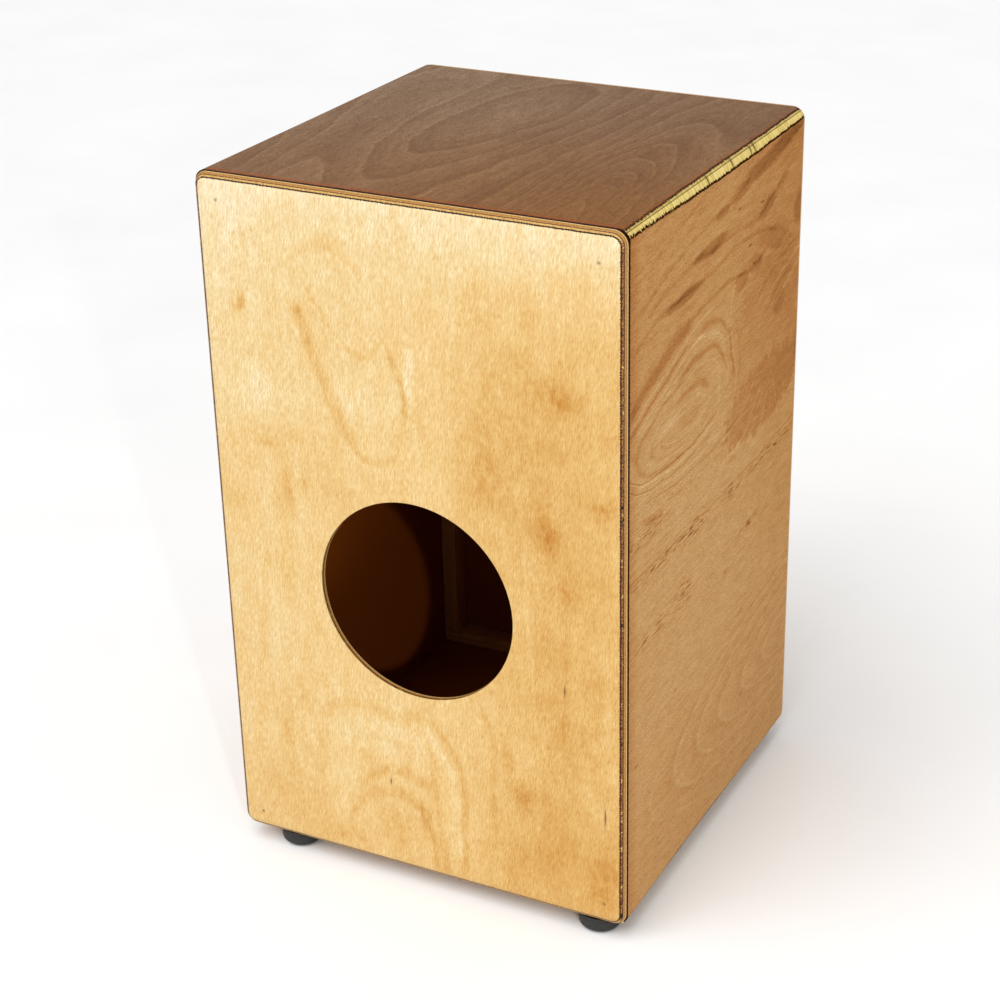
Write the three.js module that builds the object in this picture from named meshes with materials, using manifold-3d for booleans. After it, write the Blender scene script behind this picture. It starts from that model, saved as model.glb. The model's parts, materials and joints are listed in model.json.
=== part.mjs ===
// Cajon: a box drum that the player sits on.
//
// Four mitred plywood panels make an open ring. A thick back panel with a round sound hole closes
// it behind (+Y), and a thin playing plate, the tapa, closes it in front (-Y). Battens inside carry
// the fasteners. A wooden bar with two sets of snare strands tilts on two pins behind the tapa.
// Millimetres, +Z up, origin on the floor under the middle of the box. Left is -X, right is +X.

import * as THREE from 'three';
import { mergeVertices } from 'three/addons/utils/BufferGeometryUtils.js';
import Module from 'manifold-3d';

const wasm = await Module();
wasm.setup();

// ---- driving dimensions -----------------------------------------------------------------------

const WIDTH = 300;
const DEPTH = 298;
const HEIGHT = 486;
const FOOT_HEIGHT = 12;

const GAP = 0.3;
const RING_THICKNESS = 12;
const RING_CORNER_RADIUS = 8;
const BACK_THICKNESS = 5;
const BACK_ROUNDOVER = 4.6;
const TAPA_THICKNESS = 3;
const TAPA_EASING = 0.6;

const HOLE_RADIUS = 71.2;
const HOLE_HEIGHT = 212.5;

// Front battens: uprights at the sides and rows at the top and bottom.
const UPRIGHT = { width: 12, depth: 16 };
const ROW = { height: 10, depth: 16 };
// Back battens: the uprights take the brads.
const BACK_UPRIGHT_WIDTH = 16;
const BACK_BATTEN_DEPTH = 12;

const FOOT_RADIUS = 15;
const FOOT_TREAD_RADIUS = 10.5;
const FOOT_ROUNDING = 5;
const FOOT_RECESS_RADIUS = 5.5;
const FOOT_RECESS_DEPTH = 4.8;
// The feet are screwed on by eye, so each has its own place: [name, x, y].
const FEET = [
  ['back_right', 112, 131],
  ['back_left', -125, 132],
  ['front_right', 122, -130],
  ['front_left', -122, -130],
];
const FOOT_SCREW = { length: 14.6, shank: 2, head: 4, headHeight: 2.2 };

const TAPA_SCREW = { length: 13, shank: 1.7, head: 3.5, headHeight: 2 };
const TAPA_SCREW_SINK = 0.1;
const TAPA_SCREW_ROW_X = [-131.7, -45, 45, 131.7];
const TAPA_SCREW_SIDE_Z = [125, 243, 361];

const BRAD_RADIUS = 0.8;
const BRAD_LENGTH = 15;
const BRAD_SINK = 0.3;
// The brads are driven by eye near the corners of the back panel: [name, x, height above the box base].
const BRADS = [
  ['top_right', 132.4, 469],
  ['top_left', -132.9, 465.4],
  ['bottom_right', 132.8, 14.7],
  ['bottom_left', -135.4, 16.5],
];

const PIVOT_Y = -135;
const PIVOT_HEIGHT = 334;
const PIN_RADIUS = 2;
const PIN_LENGTH = 24;
const PIN_OVERHANG = 9.6;
const WASHER_RADIUS = 6;
const WASHER_THICKNESS = 1.4;
const BAR_DEPTH = 12;
const BAR_HEIGHT = 22;

const STRANDS = 10;
const STRAND_PITCH = 4.2;
const STRAND_RADIUS = 1;
const STRAND_LENGTH = 122;
const STRAND_DRIFT = 1.7;
const STRAND_FAN = THREE.MathUtils.degToRad(6);
const STRAND_SET_X = 48;
const END_PLATE = { width: 44, thickness: 0.8, height: 14 };
const PLATE_SCREW = { length: 9, shank: 1.3, head: 2.6, headHeight: 1.4 };
const PLATE_SCREW_X = 15;
const PLATE_SCREW_Z = 3.6;

const LEVER_RADIUS = 2.5;
const LEVER_START = -3.5;
const LEVER_END = 58;
const LEVER_SLOPE = THREE.MathUtils.degToRad(30);
const KNOB_RADIUS = 8;
const KNOB_BORE_DEPTH = 9;

// How far cutting tools reach past what they cut, and the size of those that go right through.
const OVERRUN = 1;
const THROUGH = 40;

const SMALL_SIDES = 8;
const SCREW_SIDES = 12;
const FOOT_SIDES = 24;
const HOLE_SIDES = 72;

// ---- derived places, in the frame of the box whose base is at height 0 ------------------------

const FRONT_Y = -DEPTH / 2;
const BACK_Y = DEPTH / 2;
const RING_FRONT_Y = FRONT_Y + TAPA_THICKNESS + GAP;
const RING_BACK_Y = BACK_Y - BACK_THICKNESS - GAP;
const RING_DEPTH = RING_BACK_Y - RING_FRONT_Y;
const INNER_X = WIDTH / 2 - RING_THICKNESS - GAP;
const INNER_BASE = RING_THICKNESS + GAP;
const INNER_TOP = HEIGHT - RING_THICKNESS - GAP;
const ROW_HEIGHTS = { bottom: INNER_BASE + ROW.height / 2, top: INNER_TOP - ROW.height / 2 };
const BAR_HALF = INNER_X - UPRIGHT.width - 2 * GAP - WASHER_THICKNESS;
const PIN_OUTER_END = BAR_HALF + PIN_OVERHANG;

// ---- materials --------------------------------------------------------------------------------

function finish(color, roughness, metalness = 0) {
  return new THREE.MeshStandardMaterial({ color, roughness, metalness });
}

const FINISHES = {
  seat: () => finish(0x94714a, 0.42),
  side: () => finish(0xbf8d57, 0.42),
  back: () => finish(0xe8c182, 0.4),
  tapa: () => finish(0xdab27a, 0.4),
  inside: () => finish(0xc39a63, 0.75),
  rubber: () => finish(0x17181a, 0.7),
  steel: () => finish(0xb9bcc0, 0.3, 1),
  blackened: () => finish(0x2b2a29, 0.45, 1),
  felt: () => finish(0x35302c, 0.95),
  plastic: () => finish(0x141414, 0.4),
};

// ---- solids: joining, cutting and placing -----------------------------------------------------

function toSolid(geometry) {
  const bare = geometry.clone();
  bare.deleteAttribute('normal');
  bare.deleteAttribute('uv');
  const merged = mergeVertices(bare);
  const vertProperties = new Float32Array(merged.attributes.position.array);
  const triVerts = new Uint32Array(merged.index.array);
  return new wasm.Manifold(new wasm.Mesh({ numProp: 3, vertProperties, triVerts }));
}

function toGeometry(solid) {
  const { vertProperties, triVerts } = solid.getMesh();
  const geometry = new THREE.BufferGeometry();
  geometry.setAttribute('position', new THREE.BufferAttribute(vertProperties, 3));
  geometry.setIndex(new THREE.BufferAttribute(triVerts, 1));
  geometry.computeVertexNormals();
  return geometry;
}

function cut(geometry, tools) {
  let solid = toSolid(geometry);
  for (const tool of tools) {
    solid = solid.subtract(toSolid(tool));
  }
  return toGeometry(solid);
}

function join(geometries) {
  let solid = toSolid(geometries[0]);
  for (const geometry of geometries.slice(1)) {
    solid = solid.add(toSolid(geometry));
  }
  return toGeometry(solid);
}

function piece(name, geometry, material) {
  const mesh = new THREE.Mesh(geometry, material);
  mesh.name = name;
  return mesh;
}

function at(object, x, y, z) {
  object.position.set(x, y, z);
  return object;
}

// ---- basic shapes -----------------------------------------------------------------------------

// A bore of the given radius from y = 0 down to y = -depth, open at the top.
function bore(radius, depth) {
  const length = depth + OVERRUN;
  return new THREE.CylinderGeometry(radius, radius, length, SMALL_SIDES)
    .translate(0, OVERRUN - length / 2, 0);
}

// A rectangle in the XY plane with round corners.
function roundedRectangle(width, height, radius) {
  const x = width / 2;
  const y = height / 2;
  const shape = new THREE.Shape();
  shape.moveTo(x, y - radius);
  shape.absarc(x - radius, y - radius, radius, 0, Math.PI / 2);
  shape.absarc(radius - x, y - radius, radius, Math.PI / 2, Math.PI);
  shape.absarc(radius - x, radius - y, radius, Math.PI, Math.PI * 1.5);
  shape.absarc(x - radius, radius - y, radius, Math.PI * 1.5, Math.PI * 2);
  return shape;
}

// A wood screw on the Y axis: its head's top is at y = 0 and its tip points down. A countersunk
// head tapers to the shank, and a pan head is straight with a flat underside. With a clearance it is
// the tool that cuts the screw's hole.
function screwProfile({ length, shank, head, headHeight }, countersunk, clearance = 0) {
  const tipLength = 1.6 * shank;
  const rim = 0.3;
  const top = clearance > 0 ? OVERRUN : 0;
  const outline = [
    [0, -length - clearance],
    [shank + clearance, tipLength - length - clearance],
    [shank + clearance, -headHeight],
    ...(countersunk ? [] : [[head + clearance, -headHeight]]),
    [head + clearance, -rim],
    [head + clearance, top],
    [0, top],
  ];
  return outline.map(([r, y]) => new THREE.Vector2(r, y));
}

function screwGeometry(size, countersunk) {
  return new THREE.LatheGeometry(screwProfile(size, countersunk), SCREW_SIDES);
}

// ---- the ring: top, bottom and two sides, mitred ----------------------------------------------

// Section of a ring panel of the given span: inner face on y = 0, outer face on y = thickness, both
// ends mitred at 45 degrees and rounded where they meet the next panel.
function ringSection(span) {
  const radius = RING_CORNER_RADIUS;
  const centreX = span / 2 - radius;
  const centreY = RING_THICKNESS - radius;
  const mitreAngle = Math.PI / 4 + Math.asin(GAP / 2 / radius);
  const innerX = span / 2 - RING_THICKNESS - GAP / Math.SQRT2;
  const shape = new THREE.Shape();
  shape.moveTo(-innerX, 0);
  shape.lineTo(innerX, 0);
  shape.absarc(centreX, centreY, radius, mitreAngle, Math.PI / 2);
  shape.absarc(-centreX, centreY, radius, Math.PI / 2, Math.PI - mitreAngle);
  return shape;
}

// Turned about the Y axis of the box: 0 is the top, a quarter turn the right side, and so on.
function ringPanel(name, span, reach, turn, material, tools = []) {
  const extrusion = { depth: RING_DEPTH, bevelEnabled: false, curveSegments: 2 };
  let geometry = new THREE.ExtrudeGeometry(ringSection(span), extrusion);
  if (tools.length > 0) {
    geometry = cut(geometry, tools);
  }
  const panel = piece(name, geometry, material);
  panel.rotation.x = Math.PI / 2;
  at(panel, 0, RING_BACK_Y, reach - RING_THICKNESS);
  const holder = at(new THREE.Group(), 0, 0, HEIGHT / 2);
  holder.rotation.y = turn;
  holder.add(panel);
  return holder;
}

// Bores for the foot screws, in the bottom panel's own frame, where its outer face points along +Y
// and the panel runs forward along +Z.
function footScrewBores() {
  const depth = FOOT_SCREW.length - (FOOT_HEIGHT - FOOT_RECESS_DEPTH) + GAP;
  return FEET.map(([, x, y]) =>
    bore(FOOT_SCREW.shank + GAP, depth).translate(-x, RING_THICKNESS, RING_BACK_Y - y));
}

function makeRing() {
  const ring = new THREE.Group();
  ring.add(
    ringPanel('top_panel', WIDTH, HEIGHT / 2, 0, FINISHES.seat()),
    ringPanel('side_panel_right', HEIGHT, WIDTH / 2, Math.PI / 2, FINISHES.side()),
    ringPanel('bottom_panel', WIDTH, HEIGHT / 2, Math.PI, FINISHES.side(), footScrewBores()),
    ringPanel('side_panel_left', HEIGHT, WIDTH / 2, -Math.PI / 2, FINISHES.side()),
  );
  return ring;
}

// ---- back panel with the sound hole, and its brads --------------------------------------------

function makeBackPanel() {
  const core = 2 * (BACK_THICKNESS - BACK_ROUNDOVER);
  const outline = roundedRectangle(WIDTH, HEIGHT, RING_CORNER_RADIUS);
  const slab = new THREE.ExtrudeGeometry(outline, {
    depth: core,
    bevelThickness: BACK_ROUNDOVER,
    bevelSize: BACK_ROUNDOVER,
    bevelOffset: -BACK_ROUNDOVER,
    bevelSegments: 4,
    curveSegments: 2,
  }).translate(0, 0, -core / 2);
  const frontHalf = new THREE.BoxGeometry(WIDTH + THROUGH, HEIGHT + THROUGH, THROUGH)
    .translate(0, 0, -THROUGH / 2);
  const hole = new THREE.CylinderGeometry(HOLE_RADIUS, HOLE_RADIUS, THROUGH, HOLE_SIDES)
    .rotateX(Math.PI / 2)
    .translate(0, HOLE_HEIGHT - HEIGHT / 2, 0);
  const bradHoles = BRADS.map(([, x, z]) =>
    new THREE.CylinderGeometry(BRAD_RADIUS + GAP, BRAD_RADIUS + GAP, THROUGH, SMALL_SIDES)
      .rotateX(Math.PI / 2)
      .translate(-x, z - HEIGHT / 2, 0));
  const panel = piece('back_panel', cut(slab, [frontHalf, hole, ...bradHoles]), FINISHES.back());
  panel.rotation.set(-Math.PI / 2, 0, Math.PI);
  return at(panel, 0, BACK_Y - BACK_THICKNESS, HEIGHT / 2);
}

function makeBrads() {
  const brads = new THREE.Group();
  for (const [corner, x, z] of BRADS) {
    const shank = new THREE.CylinderGeometry(BRAD_RADIUS, BRAD_RADIUS, BRAD_LENGTH, SMALL_SIDES);
    const brad = piece(`brad_${corner}`, shank, FINISHES.blackened());
    brads.add(at(brad, x, BACK_Y - BRAD_SINK - BRAD_LENGTH / 2, z));
  }
  return brads;
}

// ---- tapa and its screws ----------------------------------------------------------------------

// Places of the tapa's screws: [name, x, z].
function tapaScrewPlaces() {
  const places = [];
  for (const [row, z] of Object.entries(ROW_HEIGHTS)) {
    TAPA_SCREW_ROW_X.forEach((x, i) => places.push([`tapa_screw_${row}_${i + 1}`, x, z]));
  }
  for (const [side, sign] of [['left', -1], ['right', 1]]) {
    const x = sign * (INNER_X - UPRIGHT.width / 2);
    TAPA_SCREW_SIDE_Z.forEach((z, i) => places.push([`tapa_screw_${side}_${i + 1}`, x, z]));
  }
  return places;
}

// The head of a tapa screw faces -Y. The flats of its hole, not the corners, clear the screw.
function tapaScrewHole() {
  const profile = screwProfile(TAPA_SCREW, true, GAP);
  const widen = 1 / Math.cos(Math.PI / SMALL_SIDES);
  return new THREE.LatheGeometry(profile, SMALL_SIDES).scale(widen, 1, widen).rotateX(Math.PI);
}

function makeTapa() {
  const outline = roundedRectangle(WIDTH, HEIGHT, RING_CORNER_RADIUS);
  const plate = new THREE.ExtrudeGeometry(outline, {
    depth: TAPA_THICKNESS - 2 * TAPA_EASING,
    bevelThickness: TAPA_EASING,
    bevelSize: TAPA_EASING,
    bevelOffset: -TAPA_EASING,
    bevelSegments: 1,
    curveSegments: 2,
  })
    .rotateX(Math.PI / 2)
    .translate(0, TAPA_THICKNESS - TAPA_EASING, HEIGHT / 2);
  const holes = tapaScrewPlaces().map(([, x, z]) => tapaScrewHole().translate(x, 0, z));
  return at(piece('tapa', cut(plate, holes), FINISHES.tapa()), 0, FRONT_Y, 0);
}

function makeTapaScrews() {
  const screws = new THREE.Group();
  for (const [name, x, z] of tapaScrewPlaces()) {
    const screw = piece(name, screwGeometry(TAPA_SCREW, true), FINISHES.blackened());
    screw.rotation.x = Math.PI;
    screws.add(at(screw, x, FRONT_Y + TAPA_SCREW_SINK, z));
  }
  return screws;
}

// ---- battens ----------------------------------------------------------------------------------

// A batten fills the box between two corners and is drilled with the given tools, which are in the
// frame of the whole box.
function batten(name, low, high, tools) {
  const size = high.clone().sub(low);
  const centre = low.clone().add(high).multiplyScalar(0.5);
  const local = tools.map((tool) => tool.translate(-centre.x, -centre.y, -centre.z));
  const geometry = new THREE.BoxGeometry(size.x, size.y, size.z);
  return at(piece(name, cut(geometry, local), FINISHES.inside()), centre.x, centre.y, centre.z);
}

function tapaScrewTools(prefix) {
  return tapaScrewPlaces()
    .filter(([name]) => name.startsWith(prefix))
    .map(([, x, z]) => tapaScrewHole().translate(x, FRONT_Y + TAPA_SCREW_SINK, z));
}

function bradTools(side) {
  return BRADS.filter(([, x]) => Math.sign(x) === side).map(([, x, z]) =>
    bore(BRAD_RADIUS + GAP, BACK_THICKNESS + GAP + BRAD_LENGTH).translate(x, BACK_Y, z));
}

function pinBore(side) {
  const reach = BAR_HALF + WASHER_THICKNESS + 2 * GAP;
  const depth = PIN_OUTER_END + GAP - reach;
  return bore(PIN_RADIUS + GAP, depth)
    .rotateZ(side * Math.PI / 2)
    .translate(side * reach, PIVOT_Y, PIVOT_HEIGHT);
}

function makeFrontBattens() {
  const battens = new THREE.Group();
  for (const [name, z] of Object.entries(ROW_HEIGHTS)) {
    const low = new THREE.Vector3(-INNER_X, RING_FRONT_Y, z - ROW.height / 2);
    const high = new THREE.Vector3(INNER_X, RING_FRONT_Y + ROW.depth, z + ROW.height / 2);
    battens.add(batten(`front_batten_${name}`, low, high, tapaScrewTools(`tapa_screw_${name}`)));
  }
  const innerX = INNER_X - UPRIGHT.width;
  const lowZ = INNER_BASE + ROW.height + GAP;
  const highZ = INNER_TOP - ROW.height - GAP;
  for (const [name, side] of [['left', -1], ['right', 1]]) {
    const low = new THREE.Vector3(side > 0 ? innerX : -INNER_X, RING_FRONT_Y, lowZ);
    const high = new THREE.Vector3(side > 0 ? INNER_X : -innerX, RING_FRONT_Y + UPRIGHT.depth, highZ);
    const tools = [...tapaScrewTools(`tapa_screw_${name}`), pinBore(side)];
    battens.add(batten(`front_batten_${name}`, low, high, tools));
  }
  return battens;
}

function makeBackBattens() {
  const battens = new THREE.Group();
  const frontY = RING_BACK_Y - BACK_BATTEN_DEPTH;
  const innerX = INNER_X - BACK_UPRIGHT_WIDTH;
  for (const [name, side] of [['left', -1], ['right', 1]]) {
    const low = new THREE.Vector3(side > 0 ? innerX : -INNER_X, frontY, INNER_BASE);
    const high = new THREE.Vector3(side > 0 ? INNER_X : -innerX, RING_BACK_Y, INNER_TOP);
    battens.add(batten(`back_batten_${name}`, low, high, bradTools(side)));
  }
  for (const [name, z] of Object.entries(ROW_HEIGHTS)) {
    const low = new THREE.Vector3(GAP - innerX, frontY, z - ROW.height / 2);
    const high = new THREE.Vector3(innerX - GAP, RING_BACK_Y, z + ROW.height / 2);
    battens.add(batten(`back_batten_${name}`, low, high, []));
  }
  return battens;
}

// ---- feet -------------------------------------------------------------------------------------

// Half section of a foot, from the edge of its screw recess round the tread, wall and bore.
function footProfile() {
  const boreRadius = FOOT_SCREW.shank + GAP;
  const top = FOOT_HEIGHT - GAP;
  const rounding = new THREE.EllipseCurve(
    FOOT_TREAD_RADIUS, FOOT_ROUNDING, FOOT_RADIUS - FOOT_TREAD_RADIUS, FOOT_ROUNDING, -Math.PI / 2, 0);
  const corners = [
    [FOOT_RADIUS, top],
    [boreRadius, top],
    [boreRadius, FOOT_RECESS_DEPTH],
    [FOOT_RECESS_RADIUS, FOOT_RECESS_DEPTH],
    [FOOT_RECESS_RADIUS, 0],
  ].map(([r, z]) => new THREE.Vector2(r, z));
  return [new THREE.Vector2(FOOT_RECESS_RADIUS, 0), ...rounding.getPoints(4), ...corners];
}

function makeFeet() {
  const feet = new THREE.Group();
  for (const [place, x, y] of FEET) {
    const shape = new THREE.LatheGeometry(footProfile(), FOOT_SIDES);
    const foot = piece(`foot_${place}`, shape, FINISHES.rubber());
    foot.rotation.x = Math.PI / 2;
    const screw = piece(`foot_screw_${place}`, screwGeometry(FOOT_SCREW, false), FINISHES.blackened());
    screw.rotation.x = -Math.PI / 2;
    at(screw, 0, 0, FOOT_RECESS_DEPTH - GAP - FOOT_SCREW.headHeight);
    const stand = at(new THREE.Group(), x, y, 0);
    stand.add(foot, screw);
    feet.add(stand);
  }
  return feet;
}

// ---- snare carriage, built about its own pivot axis -------------------------------------------

// Centre and tilt of one set of strands, side is -1 or 1.
function strandSetPlace(side) {
  return { x: side * STRAND_SET_X, y: -BAR_DEPTH / 2 - GAP, turn: -side * STRAND_FAN };
}

// Ten coiled strands soldered to an end plate, hanging down and drifting towards the tapa. Its
// origin is on the middle of the plate's rear face.
function strandSetGeometry() {
  const { width, thickness, height } = END_PLATE;
  const plate = new THREE.BoxGeometry(width, thickness, height).translate(0, -thickness / 2, 0);
  const overlap = 0.2;
  const startY = -thickness - STRAND_RADIUS + overlap;
  const tilt = Math.atan(STRAND_DRIFT / STRAND_LENGTH);
  const drill = thickness + 2 * STRAND_RADIUS + OVERRUN;
  const holes = [-1, 1].map((side) =>
    bore(PLATE_SCREW.shank + GAP, drill).translate(side * PLATE_SCREW_X, 0, PLATE_SCREW_Z));
  const strands = [];
  for (let i = 0; i < STRANDS; i += 1) {
    const x = (i - (STRANDS - 1) / 2) * STRAND_PITCH;
    strands.push(
      new THREE.CylinderGeometry(STRAND_RADIUS, STRAND_RADIUS, STRAND_LENGTH, SMALL_SIDES)
        .rotateX(Math.PI / 2)
        .translate(0, 0, -STRAND_LENGTH / 2)
        .rotateX(tilt)
        .translate(x, startY, 0),
    );
  }
  return cut(join([plate, ...strands]), holes);
}

function makeStrandSet(name, side) {
  const { x, y, turn } = strandSetPlace(side);
  const set = at(new THREE.Group(), x, y, 0);
  set.rotation.y = turn;
  set.add(piece(`snare_wires_${name}`, strandSetGeometry(), FINISHES.steel()));
  const headTop = -END_PLATE.thickness - GAP - PLATE_SCREW.headHeight;
  for (const [end, offset] of [['inner', -side], ['outer', side]]) {
    const shape = screwGeometry(PLATE_SCREW, false);
    const screw = piece(`snare_screw_${name}_${end}`, shape, FINISHES.steel());
    screw.rotation.x = Math.PI;
    set.add(at(screw, offset * PLATE_SCREW_X, headTop, PLATE_SCREW_Z));
  }
  return set;
}

function plateScrewBores() {
  const bores = [];
  for (const side of [-1, 1]) {
    const { x, turn } = strandSetPlace(side);
    for (const offset of [-1, 1]) {
      const tool = bore(PLATE_SCREW.shank + GAP, PLATE_SCREW.length)
        .rotateX(Math.PI)
        .translate(offset * PLATE_SCREW_X, 0, PLATE_SCREW_Z)
        .rotateY(turn)
        .translate(x, -BAR_DEPTH / 2, 0);
      bores.push(tool);
    }
  }
  return bores;
}

function makeSnareBar() {
  const pinBores = [-1, 1].map((side) =>
    bore(PIN_RADIUS + GAP, BAR_HALF - (PIN_OUTER_END - PIN_LENGTH) + GAP)
      .rotateZ(-side * Math.PI / 2)
      .translate(side * BAR_HALF, 0, 0));
  const boreRadius = LEVER_RADIUS + GAP;
  const leverBore = new THREE.CylinderGeometry(boreRadius, boreRadius, THROUGH, SMALL_SIDES)
    .translate(0, THROUGH / 2 + LEVER_START - GAP, 0)
    .rotateX(-LEVER_SLOPE);
  const bar = new THREE.BoxGeometry(2 * BAR_HALF, BAR_DEPTH, BAR_HEIGHT);
  return piece('snare_bar', cut(bar, [...pinBores, leverBore, ...plateScrewBores()]), FINISHES.inside());
}

function makeLever() {
  const length = LEVER_END - LEVER_START;
  const rodShape = new THREE.CylinderGeometry(LEVER_RADIUS, LEVER_RADIUS, length, SCREW_SIDES);
  const rod = at(piece('lever_rod', rodShape, FINISHES.steel()), 0, LEVER_START + length / 2, 0);
  const mouthRadius = LEVER_RADIUS + GAP;
  const mouthAngle = Math.asin(mouthRadius / KNOB_RADIUS);
  const quarter = Math.PI / 2;
  const ball = new THREE.EllipseCurve(
    0, 0, KNOB_RADIUS, KNOB_RADIUS, mouthAngle - quarter, quarter);
  const mouthY = -KNOB_RADIUS * Math.cos(mouthAngle);
  const profile = [
    new THREE.Vector2(0, mouthY + KNOB_BORE_DEPTH),
    new THREE.Vector2(mouthRadius, mouthY + KNOB_BORE_DEPTH),
    ...ball.getPoints(8),
  ];
  profile[profile.length - 1].x = 0;
  const knob = piece('lever_knob', new THREE.LatheGeometry(profile, SCREW_SIDES), FINISHES.plastic());
  at(knob, 0, LEVER_END + GAP - KNOB_BORE_DEPTH - mouthY, 0);
  const lever = new THREE.Group();
  lever.rotation.x = -LEVER_SLOPE;
  lever.add(rod, knob);
  return lever;
}

function makePins() {
  const pins = new THREE.Group();
  for (const [name, side] of [['left', -1], ['right', 1]]) {
    const shape = new THREE.CylinderGeometry(PIN_RADIUS, PIN_RADIUS, PIN_LENGTH, SCREW_SIDES);
    const pin = piece(`pivot_pin_${name}`, shape, FINISHES.steel());
    pin.rotation.z = Math.PI / 2;
    pins.add(at(pin, side * (PIN_OUTER_END - PIN_LENGTH / 2), 0, 0));
  }
  return pins;
}

function makeWashers() {
  const washers = new THREE.Group();
  const inner = PIN_RADIUS + GAP;
  const half = WASHER_THICKNESS / 2;
  const corners = [[inner, -half], [WASHER_RADIUS, -half], [WASHER_RADIUS, half], [inner, half]];
  const profile = [...corners, corners[0]].map(([r, y]) => new THREE.Vector2(r, y));
  for (const [name, side] of [['left', -1], ['right', 1]]) {
    const shape = new THREE.LatheGeometry(profile, SCREW_SIDES);
    const washer = piece(`friction_washer_${name}`, shape, FINISHES.felt());
    washer.rotation.z = Math.PI / 2;
    washers.add(at(washer, side * (BAR_HALF + GAP + half), 0, 0));
  }
  return washers;
}

function makeSnare() {
  const snare = at(new THREE.Group(), 0, PIVOT_Y, PIVOT_HEIGHT);
  snare.add(makeSnareBar(), makeStrandSet('left', -1), makeStrandSet('right', 1));
  snare.add(makeLever(), makePins(), makeWashers());
  return snare;
}

// ---- assembly ---------------------------------------------------------------------------------

const box = at(new THREE.Group(), 0, 0, FOOT_HEIGHT);
box.add(makeRing(), makeBackPanel(), makeBrads(), makeTapa(), makeTapaScrews());
box.add(makeFrontBattens(), makeBackBattens(), makeSnare());

const group = new THREE.Group();
group.add(box, makeFeet());

export default group;
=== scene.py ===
"""Cajon: the visible model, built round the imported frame.

Design values are in millimetres and are turned into metres where a mesh is made. -Y is the front
with the playing plate, +Y the back with the sound hole, +Z up. Wood is painted as a solid: every
colour comes from the place of a point in the box and its depth below the panel's outer face, so
the plies show wherever an edge is rounded.
"""

import json
import math

import bmesh
import bpy
import numpy as np
from mathutils import Matrix, Vector


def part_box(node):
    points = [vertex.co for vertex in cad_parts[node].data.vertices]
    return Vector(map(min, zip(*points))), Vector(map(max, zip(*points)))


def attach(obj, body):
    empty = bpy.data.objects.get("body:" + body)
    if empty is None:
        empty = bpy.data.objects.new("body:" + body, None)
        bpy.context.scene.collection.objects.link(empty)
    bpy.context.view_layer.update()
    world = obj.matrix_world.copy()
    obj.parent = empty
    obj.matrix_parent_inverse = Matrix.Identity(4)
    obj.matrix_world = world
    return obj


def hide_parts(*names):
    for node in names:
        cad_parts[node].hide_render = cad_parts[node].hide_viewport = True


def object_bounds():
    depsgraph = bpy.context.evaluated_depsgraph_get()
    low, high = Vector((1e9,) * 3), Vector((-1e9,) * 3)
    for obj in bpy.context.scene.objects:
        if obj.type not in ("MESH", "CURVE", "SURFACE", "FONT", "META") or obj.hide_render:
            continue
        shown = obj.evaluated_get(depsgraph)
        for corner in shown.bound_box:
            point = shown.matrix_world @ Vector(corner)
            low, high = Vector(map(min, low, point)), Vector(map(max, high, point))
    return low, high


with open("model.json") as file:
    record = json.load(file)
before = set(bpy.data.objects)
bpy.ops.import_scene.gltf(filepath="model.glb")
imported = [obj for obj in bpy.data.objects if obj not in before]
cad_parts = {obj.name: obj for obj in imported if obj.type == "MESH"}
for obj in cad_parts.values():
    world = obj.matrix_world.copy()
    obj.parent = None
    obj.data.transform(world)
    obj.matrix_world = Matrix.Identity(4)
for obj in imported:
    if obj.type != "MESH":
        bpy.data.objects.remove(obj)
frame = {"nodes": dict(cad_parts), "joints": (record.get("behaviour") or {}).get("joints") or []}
cad_low, cad_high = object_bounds()

# ---- the frame's own measures, in millimetres ----------------------------------------------------

M = 1000.0


def node_box(name):
    low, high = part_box(name)
    return np.array(low) * M, np.array(high) * M


def node_middle(name):
    low, high = node_box(name)
    return (low + high) / 2


LEFT, FRONT, FLOOR = np.array(cad_low) * M
RIGHT, BACK, TOP = np.array(cad_high) * M
BASE = node_box("tapa")[0][2]
RING_FRONT, RING_BACK = node_box("top_panel")[0][1], node_box("top_panel")[1][1]
RING_THICKNESS = TOP - node_box("top_panel")[0][2]
BACK_THICKNESS = BACK - node_box("back_panel")[0][1]
TAPA_THICKNESS = node_box("tapa")[1][1] - FRONT
MIDDLE_Z = (TOP + BASE) / 2
HALF_WIDTH, HALF_HEIGHT = (RIGHT - LEFT) / 2, (TOP - BASE) / 2

# ---- fine design values, in millimetres ----------------------------------------------------------

HOLE_RADIUS = 71.2
HOLE_Z = BASE + 212.5
CORNER = 8.0
BACK_CORNER = 9.5
BACK_ROUNDOVER = 6.0
BACK_EASING = 8.0
TAPA_CORNER = 9.0
TAPA_ROUNDOVER = 2.0
RING_VENEER = 0.6
BACK_VENEER = 0.8
SEAM = 0.1
SMOOTH_DEGREES = 32.0
BRAD_CORNERS = ("top_right", "top_left", "bottom_right", "bottom_left")
FOOT_PLACES = ("back_right", "back_left", "front_right", "front_left")


def srgb(r, g, b):
    """A colour given in 0 to 255 display values, as linear RGBA."""
    def channel(value):
        value /= 255.0
        return value / 12.92 if value <= 0.04045 else ((value + 0.055) / 1.055) ** 2.4
    return (channel(r), channel(g), channel(b), 1.0)


def lit(colour, light, sheen):
    """The paint that looks like this 0 to 255 colour under that much light and sheen."""
    return tuple(max((c - sheen) / light, 0.004) for c in srgb(*colour)[:3]) + (1.0,)


def stand_in(piece, body, node, material):
    """Lets a piece ride on a body in place of a CAD node, with the given material, and hides that node."""
    piece.data.materials.clear()
    piece.data.materials.append(material)
    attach(piece, body)
    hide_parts(node)


def add_object(name, data):
    """A new object in the scene."""
    thing = bpy.data.objects.new(name, data)
    bpy.context.scene.collection.objects.link(thing)
    return thing


# ---- mesh helpers --------------------------------------------------------------------------------


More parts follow.
